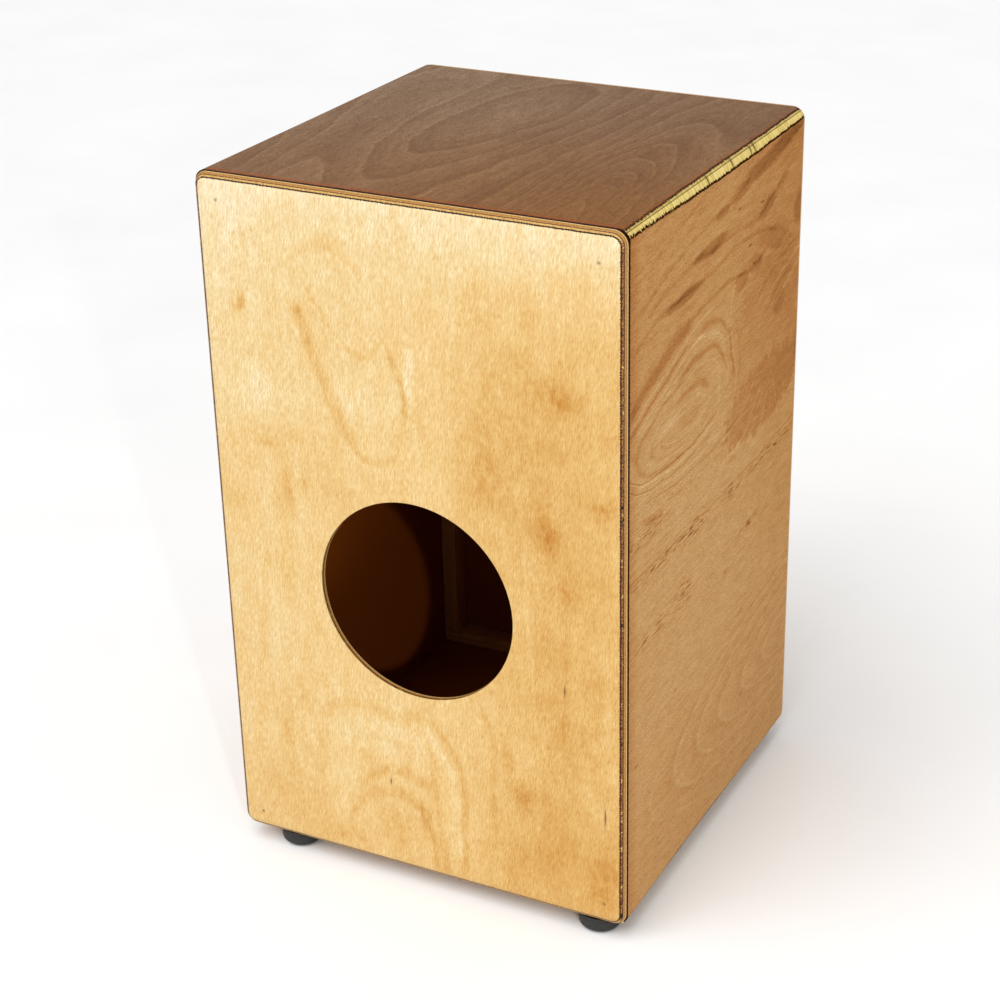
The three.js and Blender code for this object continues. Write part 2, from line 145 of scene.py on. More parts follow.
def mark_creases(bm, sharp_degrees):
    """Makes every edge smooth, except those that turn by more than the limit."""
    limit = math.radians(sharp_degrees)
    for edge in bm.edges:
        edge.smooth = len(edge.link_faces) == 2 and edge.calc_face_angle(0.0) < limit


def finish_mesh(bm, name, sharp_degrees=SMOOTH_DEGREES):
    """Turns a bmesh in metres into an object with smooth faces and sharp creases."""
    bmesh.ops.recalc_face_normals(bm, faces=bm.faces)
    for face in bm.faces:
        face.smooth = True
    mark_creases(bm, sharp_degrees)
    mesh = bpy.data.meshes.new(name)
    bm.to_mesh(mesh)
    bm.free()
    return add_object(name, mesh)


def loft(name, loops, closed=False):
    """Joins loops of points (millimetres), each with the same count, into one skin. Its two ends
    are capped, unless it closes on itself."""
    bm = bmesh.new()
    rows = [[bm.verts.new(Vector(p) / M) for p in loop] for loop in loops]
    pairs = list(zip(rows, rows[1:]))
    if closed:
        pairs.append((rows[-1], rows[0]))
    for a, b in pairs:
        for i in range(len(a)):
            j = (i + 1) % len(a)
            bm.faces.new((a[i], a[j], b[j], b[i]))
    if not closed:
        bm.faces.new(rows[0][::-1])
        bm.faces.new(rows[-1])
    return finish_mesh(bm, name)


def lathe(name, profile, sides, sharp_degrees=SMOOTH_DEGREES):
    """Spins (radius, height) points about Z. Points with radius 0 close the ends."""
    bm = bmesh.new()
    rows = []
    for radius, height in profile:
        if radius <= 0:
            rows.append([bm.verts.new(Vector((0, 0, height)) / M)])
            continue
        angles = [2 * math.pi * i / sides for i in range(sides)]
        rows.append([bm.verts.new(Vector((radius * math.cos(a), radius * math.sin(a), height)) / M)
                     for a in angles])
    for a, b in zip(rows, rows[1:]):
        for i in range(sides):
            j = (i + 1) % sides
            corners = [a[i % len(a)], a[j % len(a)], b[j % len(b)], b[i % len(b)]]
            unique = list(dict.fromkeys(corners))
            if len(unique) > 2:
                bm.faces.new(unique)
    return finish_mesh(bm, name, sharp_degrees)


def place(piece, origin, towards=(0, 0, 1)):
    """Moves the mesh so that its own +Z points towards the given direction from the origin."""
    turn = Vector(towards).to_track_quat("Z", "Y").to_matrix().to_4x4()
    piece.data.transform(Matrix.Translation(Vector(origin) / M) @ turn)
    return piece


def arc(centre, radius, start, end, steps):
    """Points on an arc, angles in degrees."""
    angles = np.radians(np.linspace(start, end, steps + 1))
    return [(centre[0] + radius * math.cos(a), centre[1] + radius * math.sin(a)) for a in angles]


def cut_with(piece, tools):
    """Takes each tool away from the piece, and removes the tool."""
    bpy.context.view_layer.objects.active = piece
    for tool in tools:
        modifier = piece.modifiers.new("cut", "BOOLEAN")
        modifier.operation = "DIFFERENCE"
        modifier.solver = "EXACT"
        modifier.object = tool
        bpy.ops.object.modifier_apply(modifier=modifier.name)
        bpy.data.objects.remove(tool)
    if not piece.data.polygons:
        raise RuntimeError(f"cutting left nothing of {piece.name}")
    bm = bmesh.new()
    bm.from_mesh(piece.data)
    mark_creases(bm, SMOOTH_DEGREES)
    bm.to_mesh(piece.data)
    bm.free()
    return piece


def soft_box(name, low, high, bevel):
    """A block between two corners, with its edges eased by a small bevel."""
    bm = bmesh.new()
    bmesh.ops.create_cube(bm, size=1.0)
    size = (np.array(high) - np.array(low)) / M
    centre = (np.array(high) + np.array(low)) / 2 / M
    bmesh.ops.scale(bm, vec=size, verts=bm.verts)
    bmesh.ops.translate(bm, vec=centre, verts=bm.verts)
    bmesh.ops.bevel(bm, geom=list(bm.edges), offset=bevel / M, segments=3, profile=0.5, affect="EDGES")
    return finish_mesh(bm, name)


# ---- shader helpers ------------------------------------------------------------------------------


class Paint:
    """One material's nodes, with a short call for each kind."""

    def __init__(self, name):
        self.material = bpy.data.materials.new(name)
        self.material.use_nodes = True
        self.nodes = self.material.node_tree.nodes
        self.links = self.material.node_tree.links
        self.nodes.clear()
        output = self.nodes.new("ShaderNodeOutputMaterial")
        self.shader = self.nodes.new("ShaderNodeBsdfPrincipled")
        self.links.new(self.shader.outputs[0], output.inputs[0])

    def feed(self, socket, value):
        if isinstance(value, bpy.types.NodeSocket):
            self.links.new(value, socket)
        else:
            socket.default_value = value

    def set(self, **values):
        for key, value in values.items():
            self.feed(self.shader.inputs[key.replace("_", " ")], value)

    def math(self, operation, *values):
        node = self.nodes.new("ShaderNodeMath")
        node.operation = operation
        for socket, value in zip(node.inputs, values):
            self.feed(socket, value)
        return node.outputs[0]

    def add(self, first, *rest):
        for value in rest:
            first = self.math("ADD", first, value)
        return first

    def mul(self, first, *rest):
        for value in rest:
            first = self.math("MULTIPLY", first, value)
        return first

    def sub(self, a, b):
        return self.math("SUBTRACT", a, b)

    def maximum(self, a, b):
        return self.math("MAXIMUM", a, b)

    def absolute(self, value):
        return self.math("ABSOLUTE", value)

    def gap(self, a, b):
        """How far apart two values are."""
        return self.absolute(self.sub(a, b))

    def swing(self, noise, amount):
        """Noise as a push either way, by up to half the amount."""
        return self.mul(self.sub(noise, 0.5), amount)

    def place_mm(self):
        """The point's x, y and z in the box, in millimetres."""
        coords = self.nodes.new("ShaderNodeTexCoord")
        scale = self.nodes.new("ShaderNodeVectorMath")
        scale.operation = "SCALE"
        scale.inputs["Scale"].default_value = M
        self.links.new(coords.outputs["Object"], scale.inputs[0])
        split = self.nodes.new("ShaderNodeSeparateXYZ")
        self.links.new(scale.outputs[0], split.inputs[0])
        return split.outputs[0], split.outputs[1], split.outputs[2]

    def vector(self, x, y, z=0.0):
        node = self.nodes.new("ShaderNodeCombineXYZ")
        for socket, value in zip(node.inputs, (x, y, z)):
            self.feed(socket, value)
        return node.outputs[0]

    def noise(self, vector, detail=2.0, roughness=0.5):
        node = self.nodes.new("ShaderNodeTexNoise")
        self.feed(node.inputs["Vector"], vector)
        node.inputs["Scale"].default_value = 1.0
        node.inputs["Detail"].default_value = detail
        node.inputs["Roughness"].default_value = roughness
        return node.outputs[0]

    def grain(self, u, v, across, along, w=0.0, **options):
        """Noise whose features are about `across` wide and `along` long, in millimetres."""
        return self.noise(self.vector(self.mul(u, 1 / across), self.mul(v, 1 / along), w), **options)

    def solid(self, place_in_mm, per_mm, **options):
        """Noise through the solid, with its own frequency along each axis."""
        scaled = [self.mul(value, frequency) for value, frequency in zip(place_in_mm, per_mm)]
        return self.noise(self.vector(*scaled), **options)

    def fade(self, value, start, end, low=0.0, high=1.0):
        """Goes smoothly from low to high as the value goes from start to end."""
        node = self.nodes.new("ShaderNodeMapRange")
        node.interpolation_type = "SMOOTHSTEP"
        if start > end:
            start, end, low, high = end, start, high, low
        for key, number in (("From Min", start), ("From Max", end), ("To Min", low), ("To Max", high)):
            node.inputs[key].default_value = number
        self.feed(node.inputs["Value"], value)
        return node.outputs[0]

    def ramp(self, factor, stops):
        """A blend through (position, colour or grey level) stops."""
        node = self.nodes.new("ShaderNodeValToRGB")
        elements = node.color_ramp.elements
        while len(elements) < len(stops):
            elements.new(0.5)
        for element, (position, colour) in zip(elements, stops):
            element.position = position
            element.color = colour if isinstance(colour, tuple) else (colour, colour, colour, 1.0)
        self.feed(node.inputs[0], factor)
        return node.outputs[0]

    def mix(self, factor, a, b, blend="MIX"):
        node = self.nodes.new("ShaderNodeMix")
        node.data_type = "RGBA"
        node.blend_type = blend
        self.feed(node.inputs["Factor"], factor)
        self.feed(node.inputs[6], a)
        self.feed(node.inputs[7], b)
        return node.outputs[2]

    def shade(self, colour, amount, low, high, tint=(1.0, 1.0, 1.0)):
        """Multiplies a colour by a level that goes from low to high as amount goes from 0 to 1. The
        tint's powers make each channel vary more or less."""
        stops = [(0.0, tuple(low ** power for power in tint) + (1.0,)),
                 (1.0, tuple(high ** power for power in tint) + (1.0,))]
        return self.mix(1.0, colour, self.ramp(amount, stops), "MULTIPLY")

    def ellipse(self, u, v, centre, radii, tilt):
        """The point seen from an ellipse's centre, in its radii. Tilt in degrees."""
        node = self.nodes.new("ShaderNodeMapping")
        node.vector_type = "TEXTURE"
        node.inputs["Location"].default_value = (centre[0], centre[1], 0.0)
        node.inputs["Rotation"].default_value = (0.0, 0.0, math.radians(tilt))
        node.inputs["Scale"].default_value = (radii[0], radii[1], 1.0)
        self.feed(node.inputs["Vector"], self.vector(u, v))
        return node.outputs[0]

    def hill(self, u, v, centre, radii, tilt=0.0):
        """A smooth bump, 1 at its centre. Radii in millimetres."""
        offset = self.ellipse(u, v, centre, radii, tilt)
        square = self.nodes.new("ShaderNodeVectorMath")
        square.operation = "DOT_PRODUCT"
        self.links.new(offset, square.inputs[0])
        self.links.new(offset, square.inputs[1])
        return self.math("EXPONENT", self.mul(square.outputs["Value"], -1.0))

    def landscape(self, u, v, hills):
        """The sum of hills, each (height, centre, radii, tilt)."""
        total = 0.0
        for height, centre, radii, tilt in hills:
            total = self.add(total, self.mul(self.hill(u, v, centre, radii, tilt), height))
        return total

    def bump(self, height, distance_mm, strength):
        node = self.nodes.new("ShaderNodeBump")
        node.inputs["Strength"].default_value = strength
        node.inputs["Distance"].default_value = distance_mm / M
        self.feed(node.inputs["Height"], height)
        return node.outputs[0]


# ---- wood ----------------------------------------------------------------------------------------

# How strongly a shading changes each colour channel.
WARM = (1.0, 1.4, 1.9)
PALE = (0.5, 1.0, 1.8)
# The light and the sheen that each face's paint is worked out for.
SIDE_LIGHT = (0.95, 0.006)
SEAT_LIGHT = (0.9, 0.0387)
BACK_LIGHT = (1.23, 0.03)
INSIDE = (0.30, 0.068, 0.007, 1.0)
CORE_PLY = ((188, 158, 78), (226, 200, 120), (244, 224, 156))
SEAT_PLY = ((146, 118, 50), (198, 170, 92), (228, 204, 130))
# Each face's wood tones, from level 0 to level 1 of its figure; the back's level also carries painted light
# and shade.
SIDE_TONES = ((210, 172, 121), (197, 157, 107), (188, 142, 90),
              (176, 123, 74), (158, 107, 63), (112, 70, 38))
BACK_TONES = ((254, 236, 196), (248, 222, 168), (243, 207, 143),
              (234, 191, 122), (223, 173, 102), (204, 142, 70))
# A stroke's curve holds places as shares of this many millimetres.
SPAN = 500.0


def flecks(paint, u, v):
    """The short dark dashes of beech, 0 to 1, running along v."""
    fine = paint.grain(u, v, 1.0, 4.4, detail=1.0)
    patchy = paint.grain(u, v, 26.0, 40.0, w=7.0, detail=1.0)
    return paint.mul(paint.fade(fine, 0.5, 0.68), paint.fade(patchy, 0.25, 0.7, 0.5, 1.0))


def rings(paint, height, softness=0.5):
    """Growth rings from a landscape: one ring for each unit, soft on one side, crisp on the other."""
    part = paint.math("FRACT", height)
    return paint.ramp(part, [(0.0, 0.0), (softness, 0.25), (0.86, 1.0), (0.93, 0.8), (1.0, 0.0)])


def light_lines(paint, height, width):
    """Thin pale lines, one for each unit of a landscape."""
    part = paint.math("PINGPONG", height, 0.5)
    return paint.fade(part, width, 0.0)


def fibres(paint, colour, u, v, fine, broad, tint=WARM, streak=26.0, fleck=1.9):
    """Grain of every size on a wood colour, with fine and broad as the strengths of its small and
    large features. u is across the grain and v along it. Returns the grained colour and a height
    for the bump."""
    pores = flecks(paint, u, v)
    streaks = paint.grain(u, v, 0.9, streak, w=19.0, detail=3.0, roughness=0.6)
    speckle = paint.grain(u, v, 0.75, fleck, w=31.0, detail=2.0, roughness=0.7)
    wave = paint.grain(u, v, 5.0, 15.0, w=23.0, detail=3.0, roughness=0.6)
    colour = paint.shade(colour, pores, 1.0, 1.0 - 0.12 * fine, tint)
    for noise, start, end, darker, paler in ((streaks, 0.3, 0.7, 0.1 * broad, 0.08 * broad),
                                             (speckle, 0.25, 0.75, 0.16 * fine, 0.15 * fine),
                                             (wave, 0.3, 0.7, 0.05 * broad, 0.05 * broad)):
        colour = paint.shade(colour, paint.fade(noise, start, end), 1.0 - darker, 1.0 + paler, tint)
    return colour, paint.sub(paint.mul(paint.add(streaks, speckle), 0.5), pores)


def warped(paint, u, v, across, along, amount_u, amount_v, w=0.0):
    """The same place pushed about by broad noise, so that a drawn figure gets a natural outline."""
    push_u = paint.sub(paint.grain(u, v, across, along, w=w, detail=3.0), 0.5)
    push_v = paint.sub(paint.grain(u, v, across, along, w=w + 40.0, detail=3.0), 0.5)
    return paint.add(u, paint.mul(push_u, amount_u)), paint.add(v, paint.mul(push_v, amount_v))


def varnish(paint, colour, height, roughness, shine=0.3):
    """Satin lacquer over wood that still shows its pores."""
    paint.set(Base_Color=colour, Roughness=roughness, Specular_IOR_Level=shine)
    paint.set(Normal=paint.bump(height, 0.05, 0.4))


def ring_ply(paint, face, depth, along, mitre, ply=CORE_PLY):
    """Covers a face colour with what shows below it: glue line, pale core ply, mitre and inner face."""
    teeth = paint.grain(along, 0.0, 1.2, 50.0, detail=1.0)
    chips = paint.grain(along, 0.0, 17.0, 50.0, w=5.0, detail=3.0)
    sawn = paint.swing(teeth, paint.fade(along, 170.0, 20.0, 0.9, 2.4))
    ragged = paint.add(depth, sawn, paint.swing(chips, 1.1))
    splinters = paint.grain(along, 0.0, 2.6, 50.0, w=9.0, detail=2.0)
    torn = paint.add(ragged, paint.swing(splinters, 1.4))
    striae = paint.grain(along, depth, 1.0, 6.0, w=3.0, detail=3.0, roughness=0.65)
    core = paint.ramp(striae, [(0.3 + 0.2 * i, srgb(*c)) for i, c in enumerate(ply)])
    for place_along, tilt in ((166.0, 14.0), (198.0, -24.0), (204.0, 30.0), (126.0, 8.0)):
        crack = paint.hill(along, depth, (place_along, 3.0), (1.2, 3.0), tilt)
        core = paint.mix(paint.mul(crack, 0.9), core, srgb(48, 30, 8))
    core = paint.mix(paint.fade(mitre, 0.45, 0.2), core, srgb(92, 70, 24))
    colour = paint.mix(paint.fade(ragged, RING_VENEER - 0.1, RING_VENEER + 0.05), face, srgb(52, 20, 2))
    colour = paint.mix(paint.fade(torn, RING_VENEER + 0.55, RING_VENEER + 0.85), colour, core)
    return paint.mix(paint.fade(depth, RING_THICKNESS - 1.2, RING_THICKNESS - 0.9), colour, INSIDE)


def joint_shade_and_glue(paint, colour, x, y, z):
    """Darkens the ring's end where it meets the back panel: painted shade of the open joint, with glue beads
    along it.
    """
    beads = paint.grain(x, z, 1.25, 1.25, detail=3.0, roughness=0.65)
    near = paint.add(y, paint.swing(beads, 3.8))
    return paint.mix(paint.fade(near, RING_BACK - 1.5, RING_BACK - 1.0), colour, srgb(44, 16, 2))


def reach(paint, u, v, centre, radii, tilt):
    """How far out a point is in an ellipse: 0 at its centre, 1 on its rim."""
    length = paint.nodes.new("ShaderNodeVectorMath")
    length.operation = "LENGTH"
    paint.links.new(paint.ellipse(u, v, centre, radii, tilt), length.inputs[0])
    return length.outputs["Value"]


def blob(paint, u, v, centre, radii, tilt, ragged):
    """A patch of darker wood with ragged ends."""
    out = paint.add(reach(paint, u, v, centre, radii, tilt), paint.swing(ragged, 0.9))
    return paint.fade(out, 1.15, 0.62)


def contour(paint, out, level, inner, outer):
    """A line along one rim of nested ellipses, with its own softness inside and outside."""
    return paint.mul(paint.fade(out, level - inner, level), paint.fade(out, level + outer, level))


def stroke(paint, along, across, points, before, after, tail=9.0):
    """A soft line of the figure through (along, across) points, 0 to 1. Before and after are its
    widths on its two sides."""
    node = paint.nodes.new("ShaderNodeFloatCurve")
    curve = node.mapping.curves[0]
    places = [(a / SPAN, b / SPAN) for a, b in points]
    curve.points[0].location = places[0]
    curve.points[1].location = places[-1]
    for place_on_curve in places[1:-1]:
        curve.points.new(*place_on_curve)
    node.mapping.update()
    paint.feed(node.inputs["Value"], paint.mul(along, 1 / SPAN))
    off = paint.sub(across, paint.mul(node.outputs[0], SPAN))
    body = paint.mul(paint.fade(off, -before, -before * 0.2), paint.fade(off, after, after * 0.2))
    ends = paint.mul(paint.fade(along, points[0][0] - 2.0, points[0][0] + tail),
                     paint.fade(along, points[-1][0] + 2.0, points[-1][0] - tail))
    return paint.mul(body, ends)


# Places in these tables are millimetres from the back and top edges of the box.
# The side's figure: (strength, width above, width below, points as (along from the back, down)).
SIDE_LINES = [
    (0.13, 4.5, 1.4, [(8, 84), (30, 75), (55, 69), (90, 68), (130, 68), (170, 64), (210, 65), (250, 73)]),
    (0.10, 5.0, 1.4, [(16, 60), (60, 47), (95, 38), (130, 33), (165, 30), (200, 20)]),
    (0.12, 4.5, 1.4, [(30, 63), (70, 56), (105, 51), (140, 53), (175, 53), (205, 55), (235, 48),
                      (262, 38)]),
    (0.07, 3.0, 1.0, [(8, 40), (50, 28), (95, 18), (140, 10)]),
    (0.15, 3.0, 1.8, [(92, 89), (120, 86), (160, 83), (200, 86), (230, 82)]),
    (0.25, 8.0, 7.0, [(4, 121), (25, 111), (45, 104), (65, 96), (85, 92), (102, 90)]),
    (0.20, 2.6, 2.6, [(4, 134), (30, 124), (50, 117), (72, 110), (96, 102)]),
    (-0.16, 1.4, 1.2, [(4, 129), (30, 119), (52, 111), (76, 104), (104, 95), (140, 91)]),
    (-0.16, 1.3, 1.3, [(6, 140), (30, 129), (55, 122), (80, 113), (110, 105), (122, 103)]),
    (0.20, 4.0, 3.4, [(78, 123), (100, 118), (120, 117), (138, 119), (152, 128), (163, 144)]),
    (-0.14, 1.2, 1.2, [(60, 125), (90, 116), (115, 111), (138, 112), (152, 120), (164, 136)]),
    (-0.12, 1.6, 1.2, [(70, 132), (95, 125), (120, 124), (140, 129), (154, 141)]),
    (0.17, 4.5, 5.0, [(74, 138), (95, 135), (115, 135), (134, 145)]),
    (-0.13, 1.4, 1.4, [(56, 150), (74, 144), (96, 142), (116, 144), (130, 151)]),
    (-0.13, 1.2, 1.2, [(56, 154), (74, 160), (100, 162), (120, 159), (130, 153)]),
    (0.16, 4.5, 4.0, [(112, 100), (132, 100), (146, 103), (158, 112), (166, 126)]),
    (-0.14, 2.6, 2.6, [(96, 108), (115, 105), (130, 107), (144, 111), (156, 122)]),
    (0.32, 0.9, 0.9, [(4, 157), (20, 167), (50, 173), (85, 175), (115, 173), (148, 167)]),
    (0.27, 0.8, 0.8, [(6, 166), (25, 175), (60, 181), (100, 182), (145, 178)]),
    (0.22, 0.8, 0.8, [(26, 184), (70, 190), (110, 192), (150, 191), (190, 186)]),
    (0.11, 0.9, 0.9, [(60, 197), (100, 201), (140, 199), (165, 203)]),
    (-0.13, 1.1, 1.1, [(6, 161), (25, 170), (60, 177), (100, 178), (145, 172)]),
    (-0.10, 1.2, 1.2, [(10, 171), (40, 180), (80, 186), (120, 187), (160, 184)]),
    (0.16, 1.2, 0.9, [(4, 231), (60, 233), (120, 234), (180, 233), (240, 231), (300, 227)]),
    (0.10, 0.9, 0.9, [(4, 225), (50, 228), (110, 229), (150, 229)]),
    (0.09, 0.9, 0.9, [(150, 238), (200, 239), (250, 236), (300, 233)]),
    (-0.14, 1.4, 1.6, [(226, 122), (245, 112), (262, 106), (282, 102), (300, 94)]),
    (0.14, 2.5, 2.5, [(234, 129), (246, 119), (262, 112), (285, 108)]),
    (-0.13, 1.6, 1.6, [(238, 137), (250, 127), (268, 119), (300, 106)]),
    (0.10, 3.0, 3.0, [(210, 116), (228, 106), (250, 98), (276, 92), (300, 88)]),
    (-0.13, 1.4, 2.2, [(160, 205), (184, 208), (200, 202), (216, 188), (232, 172)]),
    (-0.15, 1.8, 1.8, [(200, 216), (210, 208), (222, 194), (234, 180)]),
    (-0.11, 1.4, 1.4, [(150, 193), (180, 190), (200, 180), (222, 164)]),
    (-0.09, 1.4, 1.4, [(258, 178), (268, 192), (282, 200), (300, 202)]),
    (-0.08, 1.2, 1.2, [(252, 184), (264, 198), (276, 206), (292, 212)]),
]
# The same, with points as (down, along).
SIDE_UPRIGHTS = [
    (0.16, 2.0, 4.0, [(112, 163), (128, 167), (145, 173), (160, 174)]),
    (-0.12, 1.0, 1.2, [(104, 164), (122, 168), (140, 175), (160, 179), (172, 172)]),
    (-0.14, 2.2, 2.2, [(84, 172), (94, 170), (106, 166)]),
    (0.08, 2.0, 3.0, [(118, 176), (140, 184), (165, 182)]),
    (-0.10, 6.0, 3.0, [(134, 148), (150, 150), (166, 148)]),
    (-0.14, 1.6, 1.6, [(172, 247), (186, 240), (202, 232), (218, 225)]),
    (-0.14, 1.4, 1.4, [(176, 249), (188, 252), (204, 258), (218, 263)]),
    (-0.10, 1.2, 1.2, [(178, 248), (192, 246), (206, 245), (218, 246)]),
]
# Patches of darker wood: (strength, centre, half sizes, tilt in degrees).
SIDE_PATCHES = [
    (0.24, (86, 69), (32, 4.4), -2), (0.22, (131, 50), (32, 5.6), -2),
    (0.18, (150, 32), (13, 4.6), -4), (0.22, (236, 17), (70, 6.5), -8),
    (0.18, (184, 26), (20, 5), -14), (0.18, (231, 50), (20, 5.5), -14),
    (0.13, (257, 41), (14, 4), -20), (0.15, (185, 89), (14, 7.5), -6),
    (0.11, (208, 84), (15, 7), 0), (0.12, (246, 77), (34, 9), 14),
    (0.18, (292, 68), (12, 12), -30), (0.12, (256, 128), (13, 9), -10),
    (0.12, (298, 166), (9, 22), 0), (0.14, (38, 199), (16, 2.6), 12),
    (0.12, (176, 214), (8, 2.2), 0),
]
# The eye's dark heart and pale end, and the nested loops round it: (strength, centre, half sizes).
SIDE_EYE = [(0.11, (100, 152), (19, 6.5)), (-0.14, (60, 146), (22, 5))]
SIDE_LOOPS = [(0.20, (95, 149), (78, 25)), (0.12, (97, 151), (58, 17)), (0.09, (98, 152), (44, 12))]
# Groups of dark dashes, as (centre, half sizes), and the centres of single ones.
SIDE_DASHES = [
    ((112, 238), (20, 7)), ((178, 238), (14, 6)), ((95, 278), (16, 12)), ((35, 282), (34, 6)),
    ((212, 278), (30, 4)), ((60, 236), (60, 4)), ((30, 205), (30, 8)), ((250, 236), (50, 4)),
]
SIDE_SPOTS = [(168, 297), (82, 345), (204, 414), (18, 369), (208, 84), (178, 38), (220, 45), (199, 69)]


def side_material():
    """The figured tan veneer of a side, with an eye near the top and its grain running front to back.
    The figure is drawn as one level, 0 for the palest wood and 1 for the darkest."""
    paint = Paint("side_veneer")
    x, y, z = paint.place_mm()
    along = paint.sub(BACK, y)
    down = paint.sub(TOP, z)
    depth = paint.sub(HALF_WIDTH, paint.absolute(x))
    u, v = warped(paint, along, down, 40.0, 18.0, 10.0, 5.0)
    u, v = warped(paint, u, v, 9.0, 4.0, 3.0, 2.4, w=3.0)
    ragged = paint.grain(along, down, 14.0, 4.0, w=11.0, detail=4.0, roughness=0.65)
    mottled = paint.grain(along, down, 16.0, 8.0, w=29.0, detail=4.0, roughness=0.65)
    clouds = paint.grain(along, down, 60.0, 24.0, w=2.0, detail=3.0)

    forward = paint.fade(along, 140.0, 300.0)
    level = paint.add(paint.fade(down, 60.0, 190.0, 0.41, 0.27), paint.fade(down, 320.0, 470.0, 0.0, 0.09),
                      paint.mul(forward, paint.fade(down, 400.0, 260.0, 0.08, 0.15)),
                      paint.fade(down, 45.0, 0.0, 0.0, 0.05), paint.swing(clouds, 0.18))

    def draw(amount, strength):
        return paint.add(level, paint.mul(amount, strength))

    red_out = paint.add(reach(paint, u, v, (240.0, 148.0), (76.0, 62.0), 0.0),
                        paint.swing(ragged, 0.7))
    rim = paint.grain(along, down, 7.0, 16.0, w=17.0, detail=3.0, roughness=0.6)
    skirt = paint.add(reach(paint, u, v, (232.0, 186.0), (72.0, 25.0), -4.0), paint.swing(rim, 1.1))
    skirt = paint.fade(skirt, 1.08, 0.9)
    reddish = paint.maximum(paint.fade(red_out, 1.15, 0.85), skirt)
    level = draw(skirt, 0.13)
    level = draw(paint.mul(reddish, paint.fade(mottled, 0.3, 0.65, 0.55, 1.0)), 0.14)
    flow = paint.add(paint.mul(v, 0.11), paint.mul(u, 0.03))
    upper = paint.mul(paint.fade(v, 112.0, 84.0), paint.fade(mottled, 0.3, 0.6, 0.3, 1.0))
    level = draw(paint.mul(rings(paint, flow), upper), 0.06)

    for strength, before, after, points in SIDE_LINES:
        level = draw(stroke(paint, u, v, points, before, after), strength * 1.15)
    for strength, before, after, points in SIDE_UPRIGHTS:
        level = draw(stroke(paint, v, u, points, before, after), strength)
    for strength, centre, radii in SIDE_EYE:
        level = draw(blob(paint, u, v, centre, radii, 0.0, ragged), strength)
    patches = 0.0
    for strength, centre, radii, tilt in SIDE_PATCHES:
        patch = paint.mul(blob(paint, u, v, centre, radii, tilt, ragged), strength * 1.3)
        patches = paint.maximum(patches, patch)
    level = paint.add(level, patches)
    for strength, centre, radii in SIDE_LOOPS:
        loop = reach(paint, u, v, centre, radii, -3.0)
        leftward = paint.fade(u, centre[0] + 20.0, centre[0] - 30.0, 0.35, 1.0)
        level = draw(paint.mul(contour(paint, loop, 1.0, 0.09, 0.05), leftward), strength)
        level = draw(paint.mul(contour(paint, loop, 1.12, 0.06, 0.06), leftward), -0.5 * strength)

    cathedral = reach(paint, u, v, (330.0, 398.0), (190.0, 44.0), -3.0)
    low = paint.mul(paint.fade(down, 300.0, 345.0), paint.fade(cathedral, 1.75, 1.3))
    level = draw(paint.mul(rings(paint, paint.mul(cathedral, -4.6)), low), 0.14)
    level = draw(paint.mul(light_lines(paint, paint.mul(cathedral, 4.6), 0.14), low), -0.14)
    straight = paint.grain(along, down, 120.0, 1.6, w=37.0, detail=3.0, roughness=0.6)
    level = draw(paint.sub(straight, 0.5), 0.2)
    level = draw(paint.fade(along, 24.0, 5.0), 0.24)

    dashes = paint.fade(paint.grain(down, along, 1.1, 12.0, w=13.0, detail=1.0), 0.52, 0.6)
    for centre, radii in SIDE_DASHES:
        level = draw(paint.mul(dashes, paint.hill(along, down, centre, radii)), 0.6)
    for spot in SIDE_SPOTS:
        level = draw(paint.hill(along, down, spot, (2.6, 0.6), -4.0), 0.7)

    colour = paint.ramp(level, [(0.2 * i, lit(c, *SIDE_LIGHT)) for i, c in enumerate(SIDE_TONES)])
    greyer = paint.mul(paint.fade(down, 220.0, 460.0), paint.fade(along, 0.0, 300.0, 0.3, 0.65))
    colour = paint.mix(greyer, colour, lit((188, 144, 97), *SIDE_LIGHT))
    colour, height = fibres(paint, colour, down, along, 1.1, 0.9)
    mitre = paint.gap(depth, down)
    worn = paint.add(paint.fade(along, 0.0, 150.0, 6.2, 8.6), paint.fade(along, 200.0, 289.0, 0.0, -1.2))
    shown = paint.maximum(depth, paint.add(RING_VENEER, paint.mul(paint.sub(worn, down), 0.4)))
    colour = ring_ply(paint, colour, shown, along, mitre)
    # Painted shade of the open joint at the back edge, with glue beads.
    colour = joint_shade_and_glue(paint, colour, x, y, z)
    varnish(paint, colour, height, 0.5, 0.0)
    return paint.material


